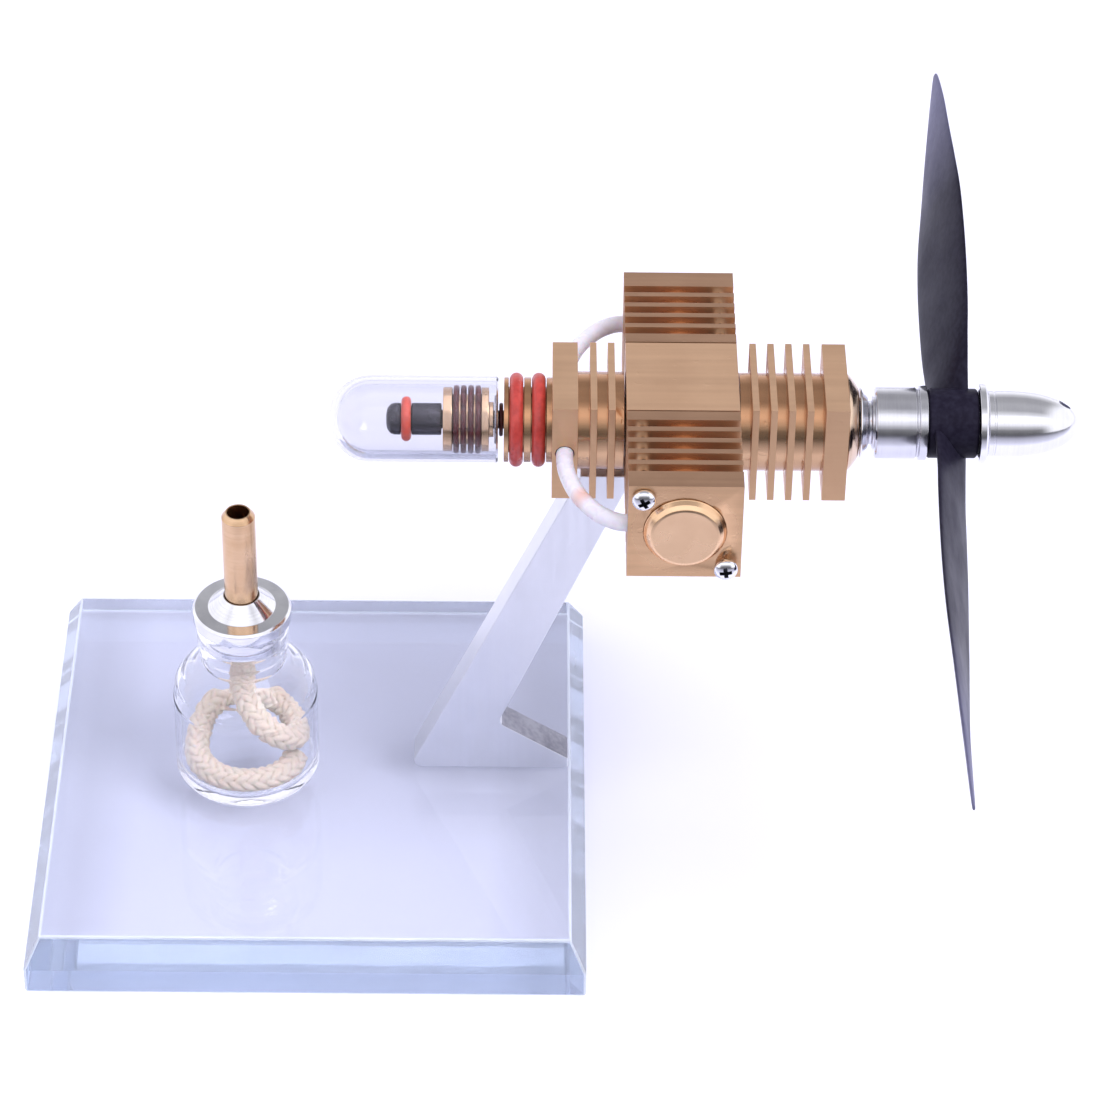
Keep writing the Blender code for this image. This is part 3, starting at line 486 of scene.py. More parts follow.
def make_materials():
    """Every material, by the short name that the pieces ask for."""
    return {
        "bar": milled_metal("brass_bar", BRASS, BRASS_DARK, 0.40, LINES_X, 0.86),
        # finned_x: painted shade between the fins (core tint) and on the faces across Y (sides tint)
        "finned_x": milled_metal("brass_finned_bar", BRASS, BRASS_DARK, 0.38, LINES_X, 0.88,
                                 ("X", CORE_RADIUS, (0.68, 0.57, 0.49)), (0.80, 0.79, 0.74)),
        # finned_y: a darker copy of the brass, painted shade over the fins and between them, with painted
        # light lifting the faces across Y (sides tint)
        "finned_y": milled_metal("shaded_brass_cylinder_block", (0.53, 0.318, 0.200), (0.44, 0.258, 0.160), 0.36,
                                 LINES_X, 0.90, ("Y", CORE_RADIUS, (0.92, 0.74, 0.62)), (1.42, 1.50, 1.38)),
        "cap": turned_metal("brass_nose_cap", (0.74, 0.56, 0.42), (0.58, 0.42, 0.30), 0.18, "x"),
        "turned_x": turned_metal("brass_turned", (0.76, 0.53, 0.33), (0.62, 0.41, 0.24), 0.20, "x"),
        "turned_y": turned_metal("brass_cylinder_head", ROSE, (0.79, 0.52, 0.315), 0.24, "y"),
        "turned_z": turned_metal("brass_wick_tube", (0.72, 0.49, 0.31), (0.60, 0.39, 0.23), 0.22, "z"),
        "bronze": turned_metal("bearing_bronze", (0.62, 0.42, 0.22), (0.48, 0.31, 0.15), 0.35, "x"),
        "silver_x": turned_metal("bright_aluminium", SILVER, (0.76, 0.76, 0.80), 0.12, "x"),
        "adapter": turned_metal("dull_aluminium", (0.70, 0.70, 0.74), (0.62, 0.62, 0.67), 0.14, "x"),
        "silver_z": turned_metal("collar_aluminium", SILVER, (0.70, 0.70, 0.74), 0.09, "z"),
        "satin": milled_metal("satin_aluminium", (0.79, 0.80, 0.85), (0.745, 0.755, 0.80), 0.42,
                              LINES_Z),
        "milled": milled_metal("darker_rough_aluminium", (0.40, 0.40, 0.47), (0.20, 0.20, 0.25), 0.5,
                               (1, 1, 1)),
        "steel": turned_metal("ground_steel", (0.40, 0.39, 0.41), (0.30, 0.29, 0.31), 0.24, "x"),
        "rod": turned_metal("oiled_steel_rod", (0.075, 0.07, 0.08), (0.045, 0.042, 0.05), 0.24, "x"),
        # recess: a dark copy of the chrome for the cross recesses, painted shade
        "recess": turned_metal("recess_painted_shade", (0.10, 0.10, 0.12), (0.05, 0.05, 0.06), 0.45, "y"),
        "chrome": turned_metal("chromed_screw", (0.84, 0.84, 0.88), (0.70, 0.70, 0.76), 0.10, "y"),
        "graphite": turned_metal("graphite_piston", (0.10, 0.10, 0.11), (0.06, 0.06, 0.07), 0.42, "y"),
        "red": rubber("red_silicone", (0.53, 0.056, 0.044), (0.40, 0.036, 0.030), 0.34, 0.1),
        "orange": rubber("orange_silicone", (0.66, 0.085, 0.045), (0.52, 0.060, 0.034), 0.34, 0.1),
        "brown": rubber("brown_rubber", (0.085, 0.012, 0.012), (0.045, 0.007, 0.008), 0.32),
        "tube": rubber("milky_silicone", (0.79, 0.76, 0.83), (0.75, 0.72, 0.80), 0.26, 0.4,
                       (ENGINE + SCORCH_PLACE, SCORCH_RADIUS, (0.72, 0.33, 0.20))),
        "black": propeller_material(),
        "clear": glass("laboratory_glass", (0.86, 0.86, 0.885), 1.38),
        "bottle": glass("bottle_glass", (0.955, 0.96, 0.97), 1.36),
        "crystal": crystal_material("crystal_base", 0.97, (0.690, 0.705, 0.738), (0.670, 0.685, 0.720)),
        # crystal_side: a bluer, less clear copy of the crystal for the plate's sides, painted light
        "crystal_side": crystal_material("crystal_side", 0.80, (0.67, 0.75, 0.86), (0.60, 0.69, 0.81)),
        "arris": arris_highlight_material(),
        "cotton": cotton_material(),
    }


# --- shapes ---

SAME_POINT = 1e-9               # metres within which two points of a profile are one
ON_AXIS = 1e-7                  # radius under which a turned point closes on the axis
STRAIGHT = math.radians(8)      # bends up to this aren't rounded


def add_piece(name, mesh, material, node):
    """Put a piece in the scene in place of a CAD node, riding on its body."""
    piece = bpy.data.objects.new(name, mesh)
    bpy.context.scene.collection.objects.link(piece)
    mesh.materials.clear()
    mesh.materials.append(material)
    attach(piece, BODY[node])
    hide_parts(node)
    return piece


def shade(mesh, angle=32):
    """Smooth shading, with creases where faces meet at more than the angle."""
    mesh.shade_smooth()
    mesh.set_sharp_from_angle(angle=math.radians(angle))


def refined(node, material, bevel):
    """A CAD node's own shape with its facets merged and its edges broken."""
    bm = bmesh.new()
    bm.from_mesh(NODES[node].data)
    bmesh.ops.remove_doubles(bm, verts=bm.verts, dist=0.002 * MM)
    bmesh.ops.dissolve_limit(bm, angle_limit=math.radians(0.4), verts=bm.verts, edges=bm.edges)
    mesh = mesh_of(bm, f"{node}_fine")
    piece = add_piece(mesh.name, mesh, material, node)
    shade(mesh)
    edge = piece.modifiers.new("edge", "BEVEL")
    edge.width = bevel
    edge.segments = 2
    edge.limit_method = "ANGLE"
    edge.angle_limit = math.radians(38)
    edge.harden_normals = True
    edge.miter_outer = "MITER_ARC"
    return piece


def filleted(profile, radius, closed=True, steps=4):
    """Round the corners of a profile of (radius, height) points."""
    points = [Vector(p) for p in profile]
    count = len(points)
    result = []
    for index, corner in enumerate(points):
        back, on = points[index - 1] - corner, points[(index + 1) % count] - corner
        at_end = not closed and index in (0, count - 1)
        if at_end or min(back.length, on.length) < SAME_POINT:
            result.append(corner)
            continue
        bend = math.pi - back.angle(on)
        if bend < STRAIGHT:
            result.append(corner)
            continue
        reach = min(radius * math.tan(bend / 2), 0.45 * back.length, 0.45 * on.length)
        start = corner + back.normalized() * reach
        end = corner + on.normalized() * reach
        for i in range(steps + 1):
            t = i / steps
            result.append(start * (1 - t) ** 2 + corner * 2 * t * (1 - t) + end * t ** 2)
    return [(p.x, p.y) for p in result]


def turned(name, profile, place, steps=96, closed=True, angle=32):
    """Mesh of a profile turned round local Z; radius 0 closes it on the axis."""
    bm = bmesh.new()
    rings = []
    for radius, height in profile:
        if radius < ON_AXIS:
            rings.append([bm.verts.new((0, 0, height))] * steps)
            continue
        ring = []
        for i in range(steps):
            turn_to = 2 * math.pi * i / steps
            ring.append(bm.verts.new((radius * math.cos(turn_to), radius * math.sin(turn_to), height)))
        rings.append(ring)
    pairs = list(zip(rings, rings[1:]))
    if closed:
        pairs.append((rings[-1], rings[0]))
    for upper, lower in pairs:
        for i in range(steps):
            j = (i + 1) % steps
            corners = []
            for vert in (upper[i], lower[i], lower[j], upper[j]):
                if vert not in corners:
                    corners.append(vert)
            if len(corners) > 2:
                bm.faces.new(corners)
    bmesh.ops.recalc_face_normals(bm, faces=bm.faces)
    bm.transform(place)
    mesh = mesh_of(bm, name)
    shade(mesh, angle)
    return mesh


def add_turned(node, profile, material, place=ALONG_X, fillet=0.0, closed=True, **turning):
    """A turned piece in place of a CAD node, its corners rounded to the fillet."""
    if fillet:
        profile = filleted(profile, fillet, closed)
    mesh = turned(node, profile, place, closed=closed, **turning)
    return add_piece(f"{node}_fine", mesh, material, node)


def extent(node, axis=0, origin=ENGINE):
    """A node's ends along an axis from the origin, and its outer radius."""
    low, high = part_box(node)
    across = (axis + 1) % 3
    return low[axis] - origin[axis], high[axis] - origin[axis], (high[across] - low[across]) / 2


def ring_of(node, material, steps=96, sides=20):
    """A round seal: a torus with the CAD ring's own size and section."""
    low, high, outer = extent(node)
    section = (high - low) / 2
    centre = outer - section
    profile = []
    for i in range(sides):
        a = -2 * math.pi * i / sides
        profile.append((centre + section * math.cos(a), (low + high) / 2 + section * math.sin(a)))
    add_turned(node, profile, material, steps=steps, angle=80)


# --- brass parts ---

FIN_EDGE = 0.10 * MM
INNER_EDGE = 0.06 * MM


def in_notch(normal):
    """True for the slope of the bracket's notch, which gets a darker, rougher aluminium."""
    return normal.x > 0.4 and normal.z > 0.7


def make_bodies(mat):
    """Brass bodies, glass base and bracket: the CAD's own shapes with broken edges."""
    refined("crankcase", mat["bar"], 0.12 * MM)
    refined("cold_end_housing", mat["finned_x"], FIN_EDGE)
    refined("nose_housing", mat["finned_x"], FIN_EDGE)
    for side in ("front", "back"):
        refined(f"cylinder_block_{side}", mat["finned_y"], FIN_EDGE)
    base = refined("base_plate", mat["crystal"], 0.40 * MM)
    base.visible_shadow = False
    base.data.materials.append(mat["crystal_side"])
    base.data.materials.append(mat["arris"])
    # the sloping and upright sides get crystal_side, a lit copy of the same glass: painted light
    for face in base.data.polygons:
        face.material_index = 0 if abs(face.normal.z) > 0.9 else 1
    # the bevel's faces get the arris material: a painted highlight along the plate's edges
    base.modifiers["edge"].material = 2
    bracket = refined("stand_bracket", mat["satin"], 0.25 * MM)
    bracket.data.materials.append(mat["milled"])
    for face in bracket.data.polygons:
        face.material_index = 1 if in_notch(face.normal) else 0


def outward(side, place):
    """A placing whose local Z points out of the front (-1) or back (1) cylinder."""
    return Matrix.Translation(place) @ Matrix.Rotation(-side * math.pi / 2, 4, "X")


def make_heads(mat):
    """Round plugs in the cylinders' ends: a boss with a bright, sloping shoulder."""
    for side, place in ((-1, "front"), (1, "back")):
        low, high, radius = extent(f"cylinder_head_{place}", 1)
        inner, face = sorted((abs(low), abs(high)))
        profile = [(0, face - 0.05 * MM), (5.2 * MM, face - 0.02 * MM), (5.55 * MM, face),
                   (5.95 * MM, face - 0.12 * MM), (6.55 * MM, face - 0.75 * MM),
                   (radius - 0.12 * MM, face - 1.45 * MM), (radius, face - 1.6 * MM),
                   (radius, inner), (0, inner)]
        add_turned(f"cylinder_head_{place}", profile, mat["turned_y"], outward(side, ENGINE), 0.5 * MM,
                   closed=False, angle=50)


def make_nose(mat):
    """Domed cap of the nose, bored for the shaft."""
    low, high, radius = extent("nose_cap")
    bore = 4.1 * MM
    dome = [(bore, high), (6.0 * MM, high), (6.6 * MM, low + 1.75 * MM), (7.25 * MM, low + 1.3 * MM),
            (8.0 * MM, low + 0.7 * MM), (radius, low + 0.15 * MM), (radius - 0.1 * MM, low), (bore, low)]
    add_turned("nose_cap", dome, mat["cap"], fillet=1.2 * MM)


def combine(piece, mesh, operation, **settings):
    """Join a mesh to a piece, or cut it out of it, and leave only the result."""
    other = bpy.data.objects.new(mesh.name, mesh)
    bpy.context.scene.collection.objects.link(other)
    modifier = piece.modifiers.new(operation, "BOOLEAN")
    modifier.operation = operation
    modifier.object = other
    modifier.solver = "EXACT"
    for key, value in settings.items():
        setattr(modifier, key, value)
    bpy.context.view_layer.update()
    evaluated = piece.evaluated_get(bpy.context.evaluated_depsgraph_get())
    result = bpy.data.meshes.new_from_object(evaluated)
    piece.modifiers.remove(modifier)
    piece.data = result
    bpy.data.objects.remove(other)


def cut_with(piece, mesh):
    """Cut a mesh out of a piece; the cut faces keep the mesh's own material."""
    combine(piece, mesh, "DIFFERENCE", material_mode="TRANSFER", use_self=True)
    shade(piece.data)


# --- bright screws ---

SCREW_HEAD = 1.5 * MM           # height of the head
SCREW_CROWN = 1.05 * MM         # height of its rounded part
SCREW_SHANK = 1.05 * MM         # radius over the thread
SCREW_THREAD = 0.18 * MM        # depth of the thread
SCREW_PITCH = 0.45 * MM
RECESS_DEPTH = 1.25 * MM
RECESS_WIDTH = 0.85 * MM
RECESS_REACH = 1.55 * MM
RECESS_LEAN = {"upper": 0.5, "lower": 0.15}     # radians by which each recess is turned


def recess_mesh(name, place):
    """Two crossed tapering slots for a screw head, their mouth at local Z 0."""
    bm = bmesh.new()
    for turn_to in (0, math.pi / 2):
        made = bmesh.ops.create_cube(bm, size=1)
        for vert in made["verts"]:
            deep = vert.co.z < 0
            vert.co.x *= 2 * RECESS_REACH * (0.45 if deep else 1.0)
            vert.co.y *= RECESS_WIDTH * (0.7 if deep else 1.0)
            vert.co.z = -RECESS_DEPTH if deep else RECESS_DEPTH
        bmesh.ops.rotate(bm, verts=made["verts"], cent=(0, 0, 0),
                         matrix=Matrix.Rotation(turn_to, 3, "Z"))
    bm.transform(place)
    return mesh_of(bm, name)


def screw_profile(head, outer, inner, steps=8):
    """Rounded head, threaded shank and plain end, from the crown down."""
    under = outer - SCREW_HEAD
    profile = [(0, outer)]
    for i in range(1, steps + 1):
        a = math.pi / 2 * i / steps
        profile.append((head * math.sin(a), outer - SCREW_CROWN * (1 - math.cos(a))))
    profile += [(head, under + 0.1 * MM), (head - 0.1 * MM, under), (SCREW_SHANK, under)]
    for i in range(int((under - inner - 1.0 * MM) / SCREW_PITCH)):
        top = under - 0.3 * MM - SCREW_PITCH * i
        profile += [(SCREW_SHANK, top), (SCREW_SHANK - SCREW_THREAD, top - SCREW_PITCH / 2)]
    return profile + [(SCREW_SHANK - 0.2 * MM, inner), (0, inner)]


def make_screws(mat):
    """Cross-recess screws that hold each cylinder block on the crankcase."""
    for side, place in ((-1, "front"), (1, "back")):
        for level in ("upper", "lower"):
            node = f"block_screw_{place}_{level}"
            low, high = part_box(node)
            head = (high.x - low.x) / 2
            inner, outer = sorted((abs(low.y - ENGINE.y), abs(high.y - ENGINE.y)))
            centre = (low + high) / 2
            place_it = outward(side, (centre.x, ENGINE.y, centre.z))
            piece = add_turned(node, screw_profile(head, outer, inner), mat["chrome"], place_it,
                               closed=False, steps=40)
            mouth = Matrix.Translation((0, 0, outer)) @ Matrix.Rotation(RECESS_LEAN[level], 4, "Z")
            recess = recess_mesh(f"{node}_recess", place_it @ mouth)
            # the recess's faces take a dark material: painted shade in the cross
            recess.materials.append(mat["recess"])
            cut_with(piece, recess)


# --- shaft, hub and spinner ---

# The spinner's cross hole: distance from its tip, radius, and tilt from upright
TOMMY_HOLE_BACK = 2.8 * MM
TOMMY_HOLE_RADIUS = 1.25 * MM
TOMMY_HOLE_TILT = math.radians(20)
SHAFT_BORE = 2.2 * MM           # radius of the holes in the pieces on the shaft
SPINNER_BORE_DEPTH = 7.5 * MM
SPINNER_BLUNTNESS = 2.3         # exponent of the nose's curve; 2 is an ellipse


def make_adapter(mat):
    """Thrust collar, stepped adapter that carries the propeller, and the washer before it."""
    bore = SHAFT_BORE
    low, high, radius = extent("thrust_collar")
    collar = [(bore, high), (4.6 * MM, high), (4.8 * MM, high - 0.15 * MM),
              (radius - 0.1 * MM, low + 0.3 * MM), (radius, low + 0.12 * MM), (radius - 0.1 * MM, low),
              (bore, low)]
    add_turned("thrust_collar", collar, mat["silver_x"], fillet=0.2 * MM)

    low, high, radius = extent("prop_adapter")
    body = radius - 0.25 * MM
    adapter = [(bore, high), (radius, high), (radius, high - 1.35 * MM), (body - 0.25 * MM, high - 1.5 * MM),
               (body - 0.25 * MM, high - 1.8 * MM), (body, high - 1.95 * MM), (body, low + 1.3 * MM),
               (body - 0.5 * MM, low + 1.0 * MM), (4.6 * MM, low + 0.95 * MM), (4.6 * MM, low + 0.6 * MM),
               (3.9 * MM, low + 0.5 * MM), (3.8 * MM, low), (bore, low)]
    add_turned("prop_adapter", adapter, mat["adapter"], fillet=0.12 * MM)

    low, high, radius = extent("prop_washer")
    washer = [(bore, high), (radius - 0.35 * MM, high), (radius, high - 0.35 * MM), (radius, low),
              (bore, low)]
    add_turned("prop_washer", washer, mat["silver_x"], fillet=0.15 * MM)


def make_spinner(mat):
    """Bullet-shaped nut with a grooved band, a blind bore and a cross hole."""
    low, high, radius = extent("spinner_nut")
    band = low + 0.9 * MM
    shoulder = low + 3.2 * MM
    bottom = low + SPINNER_BORE_DEPTH
    groove = radius - 0.14 * MM
    profile = [(SHAFT_BORE, bottom), (SHAFT_BORE, low), (radius - 0.15 * MM, low),
               (radius, low + 0.15 * MM), (radius, band), (groove, band + 0.1 * MM),
               (groove, band + 0.35 * MM), (radius, band + 0.45 * MM)]
    steps = 40
    for i in range(steps):
        t = i / steps
        profile.append((radius * math.sqrt(1 - t ** SPINNER_BLUNTNESS), shoulder + (high - shoulder) * t))
    profile += [(0.35 * MM, high - 0.01 * MM), (0, high), (0, bottom)]
    piece = add_turned("spinner_nut", profile, mat["silver_x"])
    through = [(0, HALF), (TOMMY_HOLE_RADIUS, HALF), (TOMMY_HOLE_RADIUS, -HALF), (0, -HALF)]
    middle = Matrix.Translation((high - TOMMY_HOLE_BACK + ENGINE.x, ENGINE.y, ENGINE.z))
    tilt = Matrix.Rotation(-TOMMY_HOLE_TILT, 4, "X")
    cut_with(piece, turned("spinner_hole", through, middle @ tilt, 32, closed=False))


# Blade sections: fraction of the radius, chord and thickness in millimetres, pitch in degrees,
# and offset along the shaft in millimetres
BLADE = ((0.05, 10.5, 2.6, 32.4, -0.33), (0.10, 13.3, 2.4, 25.3, -0.38), (0.16, 17.1, 2.1, 20.0, -0.43),
         (0.24, 20.2, 1.9, 18.2, -0.50), (0.34, 21.9, 1.7, 17.2, -0.56), (0.45, 23.0, 1.55, 15.8, -0.62),
         (0.56, 22.4, 1.4, 14.5, -0.58), (0.67, 19.4, 1.25, 12.7, -0.43), (0.77, 16.0, 1.1, 11.1, -0.28),
         (0.86, 12.2, 0.95, 10.0, -0.04), (0.93, 8.0, 0.8, 9.4, 0.14), (0.98, 4.1, 0.65, 9.0, 0.28),
         (1.0, 1.8, 0.5, 9.0, 0.33))
BLADE_SWEEP = 1.85 * MM     # bow of the blade's middle across its length
PROP_ANGLE = math.radians(19.5)
PROP_RADIUS = 76.2 * MM
HUB_RADIUS = 6.1 * MM
HUB_LIP = 0.35 * MM


def catmull(rows, t):
    """A smooth curve through rows of numbers, at t from 0 to the last row's index."""
    index = min(int(t), len(rows) - 2)
    u = t - index
    a = rows[max(index - 1, 0)]
    b, c = rows[index], rows[index + 1]
    d = rows[min(index + 2, len(rows) - 1)]
    return [0.5 * (2 * q + (r - p) * u + (2 * p - 5 * q + 4 * r - s) * u * u
                   + (3 * q - p - 3 * r + s) * u ** 3) for p, q, r, s in zip(a, b, c, d)]


def blade(direction, hub_centre):
    """Smooth loft of thin, round-nosed sections, on one side (1 or -1) of the hub."""
    radial = Vector((0, math.cos(PROP_ANGLE), math.sin(PROP_ANGLE))) * direction
    shaft = Vector((1, 0, 0))
    across = shaft.cross(radial)
    rings_per_section = 5
    sides = 36
    bm = bmesh.new()
    rings = []
    total = (len(BLADE) - 1) * rings_per_section
    for k in range(total + 1):
        fraction, chord, thick, pitch, rake = catmull(BLADE, k / rings_per_section)
        angle = math.radians(pitch)
        along = across * math.cos(angle) + shaft * math.sin(angle)
        normal = shaft * math.cos(angle) - across * math.sin(angle)
        centre = hub_centre + radial * (fraction * PROP_RADIUS) + shaft * (rake * MM)
        centre += across * (BLADE_SWEEP * math.sin(math.pi * fraction))
        ring = []
        for i in range(sides):
            a = 2 * math.pi * i / sides
            wide = math.copysign(abs(math.cos(a)) ** 0.9, math.cos(a))
            ring.append(bm.verts.new(centre + (along * wide * chord / 2
                                               + normal * math.sin(a) * thick / 2) * MM))
        rings.append(ring)
    skin(bm, rings)
    bm.faces.new(rings[0])
    bm.faces.new(rings[-1])
    bmesh.ops.recalc_face_normals(bm, faces=bm.faces)
    return mesh_of(bm, "blade")


def make_propeller(mat):
    """Hub and two blades in one closed mesh, bored for the shaft."""
    start, end, _ = extent("propeller")
    bore = SHAFT_BORE
    hub = [(bore, end), (HUB_RADIUS - HUB_LIP, end), (HUB_RADIUS, end - HUB_LIP),
           (HUB_RADIUS, start + HUB_LIP), (HUB_RADIUS - HUB_LIP, start), (bore, start)]
    piece = add_turned("propeller", hub, mat["black"], fillet=0.3 * MM, steps=72)
    centre = ENGINE + Vector(((start + end) / 2, 0, 0))
    for direction in (1, -1):
        combine(piece, blade(direction, centre), "UNION")
    through = [(0, end + MM), (bore, end + MM), (bore, start - MM), (0, start - MM)]
    cut_with(piece, turned("bore", through, ALONG_X, 48, closed=False))


# --- displacer, seals ---

ROD_BORE = 1.8 * MM             # radius of the holes round the displacer's rod


def make_glass_tube(mat):
    """Displacer's glass: round-ended outside and inside, with a rounded rim."""
    tip, rim, outer = extent("displacer_glass")
    bore = 6.1 * MM
    lip = 0.3 * MM
    bore_lip = 0.35 * MM
    dome = tip + outer
    steps = 24
    quarter = [math.pi / 2 * i / steps for i in range(steps)]
    profile = [(bore + bore_lip, rim), (outer - lip, rim), (outer, rim - lip)]
    profile += [(outer * math.cos(a), dome - outer * math.sin(a)) for a in quarter]
    profile += [(0, tip), (0, dome - bore)]
    profile += [(bore * math.cos(a), dome - bore * math.sin(a)) for a in reversed(quarter)]
    profile.append((bore, rim - bore_lip))
    tube = add_turned("displacer_glass", profile, mat["clear"], steps=128)
    tube.visible_shadow = False


def make_displacer(mat):
    """Plug, spindle, washer and the round seals of the displacer and the port plate."""
    left, right, boss = extent("displacer_plug")
    face = right - 0.8 * MM
    collar = 3.1 * MM
    floor = 4.4 * MM
    plug = [(ROD_BORE, right), (collar, right), (collar, face), (boss, face), (boss, face - 1.3 * MM),
            (floor, face - 1.3 * MM), (floor, left + 1.6 * MM), (boss, left + 1.6 * MM), (boss, left),
            (ROD_BORE, left)]
    add_turned("displacer_plug", plug, mat["turned_x"], fillet=0.15 * MM)
    for index in range(1, 5):
        ring_of(f"displacer_seal_{index}", mat["brown"])
    ring_of("spindle_ring", mat["orange"])
    ring_of("bumper_ring", mat["brown"], 64)
    for index in (1, 2):
        ring_of(f"hot_cap_seal_{index}", mat["red"], 128, 24)

    low, high, knob = extent("displacer_spindle")
    rod = 1.6 * MM
    waist = 2.2 * MM
    behind = left - 0.3 * MM
    spindle = [(0, high), (rod - 0.3 * MM, high), (rod, high - 0.3 * MM), (rod, behind), (knob, behind),
               (knob, low + 4.45 * MM), (waist, low + 4.45 * MM), (waist, low + 2.55 * MM),
               (knob, low + 2.55 * MM), (knob, low + 1.5 * MM), (knob - 0.25 * MM, low + 0.75 * MM),
               (knob - 0.95 * MM, low + 0.2 * MM), (1.0 * MM, low), (0, low)]
    add_turned("displacer_spindle", spindle, mat["rod"], fillet=0.25 * MM, closed=False, steps=72)

    low, high, radius = extent("bumper_washer")
    washer = [(ROD_BORE, high), (radius, high), (radius, low), (ROD_BORE, low)]
    add_turned("bumper_washer", washer, mat["steel"], fillet=0.1 * MM, steps=64)


# --- gas tubes ---

# Route in the XY plane from the engine's centre, in millimetres, as in the CAD
TUBE_ROUTE = ((-20.3, 9.6), (-20.3, 12.0), (-19.9, 15.2), (-19.0, 18.6), (-17.7, 21.8),
              (-16.0, 24.5), (-14.3, 26.5), (-12.4, 27.9), (-10.6, 28.6), (-9.0, 28.6))
TUBE_BORE_SHARE = 0.55          # bore over outside radius
TUBE_SPACING = 0.4 * MM         # between the rings of vertices along a tube


def smooth_path(rows, spacing, per_row=24):
    """Evenly spaced points on the smooth curve through the rows, and its length."""
    fine = [Vector(catmull(rows, i / per_row)) for i in range(per_row * (len(rows) - 1) + 1)]
    lengths = [0.0]
    for p, q in zip(fine, fine[1:]):
        lengths.append(lengths[-1] + (q - p).length)
    count = max(2, round(lengths[-1] / spacing))
    path, k = [], 0
    for i in range(count + 1):
        wanted = lengths[-1] * i / count
        while k < len(fine) - 2 and lengths[k + 1] < wanted:
            k += 1
        share = (wanted - lengths[k]) / max(lengths[k + 1] - lengths[k], 1e-12)
        path.append(fine[k].lerp(fine[k + 1], min(share, 1)))
    return path, lengths[-1]


def frames_along(path):
    """Two steady directions across the path at each of its points."""
    ahead = (path[1] - path[0]).normalized()
    side = ahead.orthogonal().normalized()
    frames = []
    for index, point in enumerate(path):
        before, after = path[max(index - 1, 0)], path[min(index + 1, len(path) - 1)]
        new_ahead = (after - before).normalized()
        side = ahead.rotation_difference(new_ahead) @ side
        side = (side - new_ahead * side.dot(new_ahead)).normalized()
        ahead = new_ahead
        frames.append((point, side, ahead.cross(side)))
    return frames


def tube_mesh(name, path, radius, bore, sides=32):
    """Hollow tube along a path, open at both ends."""
    bm = bmesh.new()
    frames = frames_along(path)

    def loop(frame_at, size):
        point, side, other = frame_at
        return [bm.verts.new(point + (side * math.cos(2 * math.pi * i / sides)
                                      + other * math.sin(2 * math.pi * i / sides)) * size)
                for i in range(sides)]

    outside = [loop(f, radius) for f in frames]
    inside = [loop(f, bore) for f in reversed(frames)]
    skin(bm, outside + inside + [outside[0]])
    bmesh.ops.recalc_face_normals(bm, faces=bm.faces)
    mesh = mesh_of(bm, name)
    shade(mesh, 60)
    return mesh


def make_tubes(mat):
    """Silicone tubes from the port plate round to each cylinder."""
    for side, place in ((-1, "front"), (1, "back")):
        node = f"gas_tube_{place}"
        low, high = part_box(node)
        radius = (high.z - low.z) / 2
        route = [(ENGINE.x + x * MM, ENGINE.y + side * y * MM, ENGINE.z) for x, y in TUBE_ROUTE]
        path, _ = smooth_path(route, TUBE_SPACING)
        mesh = tube_mesh(node, path, radius, radius * TUBE_BORE_SHARE)
        add_piece(f"{node}_fine", mesh, mat["tube"], node)


# --- spirit lamp ---

# Wick from its end under the tube, in millimetres from the bottle's underside, as in the CAD
WICK_ROUTE = ((0.0, 0.0, 28.3), (0.0, -0.2, 26.0), (-0.3, -0.8, 22.5), (-0.2, -1.8, 18.9),
              (1.1, -3.2, 15.8), (3.4, -4.5, 13.0), (6.4, -4.6, 10.8), (8.7, -2.6, 8.9),
              (9.2, 1.2, 8.2), (7.9, 4.8, 8.1), (5.0, 7.7, 8.5), (0.9, 8.7, 9.2),
              (-3.4, 7.7, 9.6), (-7.0, 5.2, 8.9), (-9.0, 1.4, 6.8), (-8.8, -3.2, 4.6),
              (-5.8, -7.0, 3.8), (-1.4, -8.9, 3.7), (3.7, -8.4, 3.7), (7.4, -5.5, 3.7),
              (8.9, -1.4, 3.7))
WICK_DIAMETER = 4.4 * MM
STRANDS = 8                 # in each direction
BRAID_PITCH = 15 * MM       # length of one turn of a strand
BRAID_DEPTH = 0.50 * MM     # for a height of 1 in the braid
BRAID_CORE = WICK_DIAMETER / 2 - 0.32 * MM
BRAID_BASE = 0.35           # height in the braid that lies on the core
BRAID_SPACING = 0.16 * MM   # between the rings of vertices along the wick
PINCH_END = 0.55            # share of its thickness that a cut end keeps
PINCH_RINGS = 6             # rings over which that fades
FIBRE_REPEATS = 20          # how often the fibres' pattern repeats along the wick


def braid_height(turn_to, along):
    """Height, from 0 to 1.4, of a two-over, two-under braid."""
    u = (turn_to / (2 * math.pi) + along / BRAID_PITCH) * STRANDS
    v = (turn_to / (2 * math.pi) - along / BRAID_PITCH) * STRANDS
    round_u = math.sqrt(max(0.0, 1 - (2 * (u % 1) - 1) ** 2))
    round_v = math.sqrt(max(0.0, 1 - (2 * (v % 1) - 1) ** 2))
    over_u = 0.5 * math.sin(math.pi * (v + math.floor(u)) / 2)
    over_v = -0.5 * math.sin(math.pi * (u + math.floor(v)) / 2)
    return max(over_u + 0.9 * round_u, over_v + 0.9 * round_v)


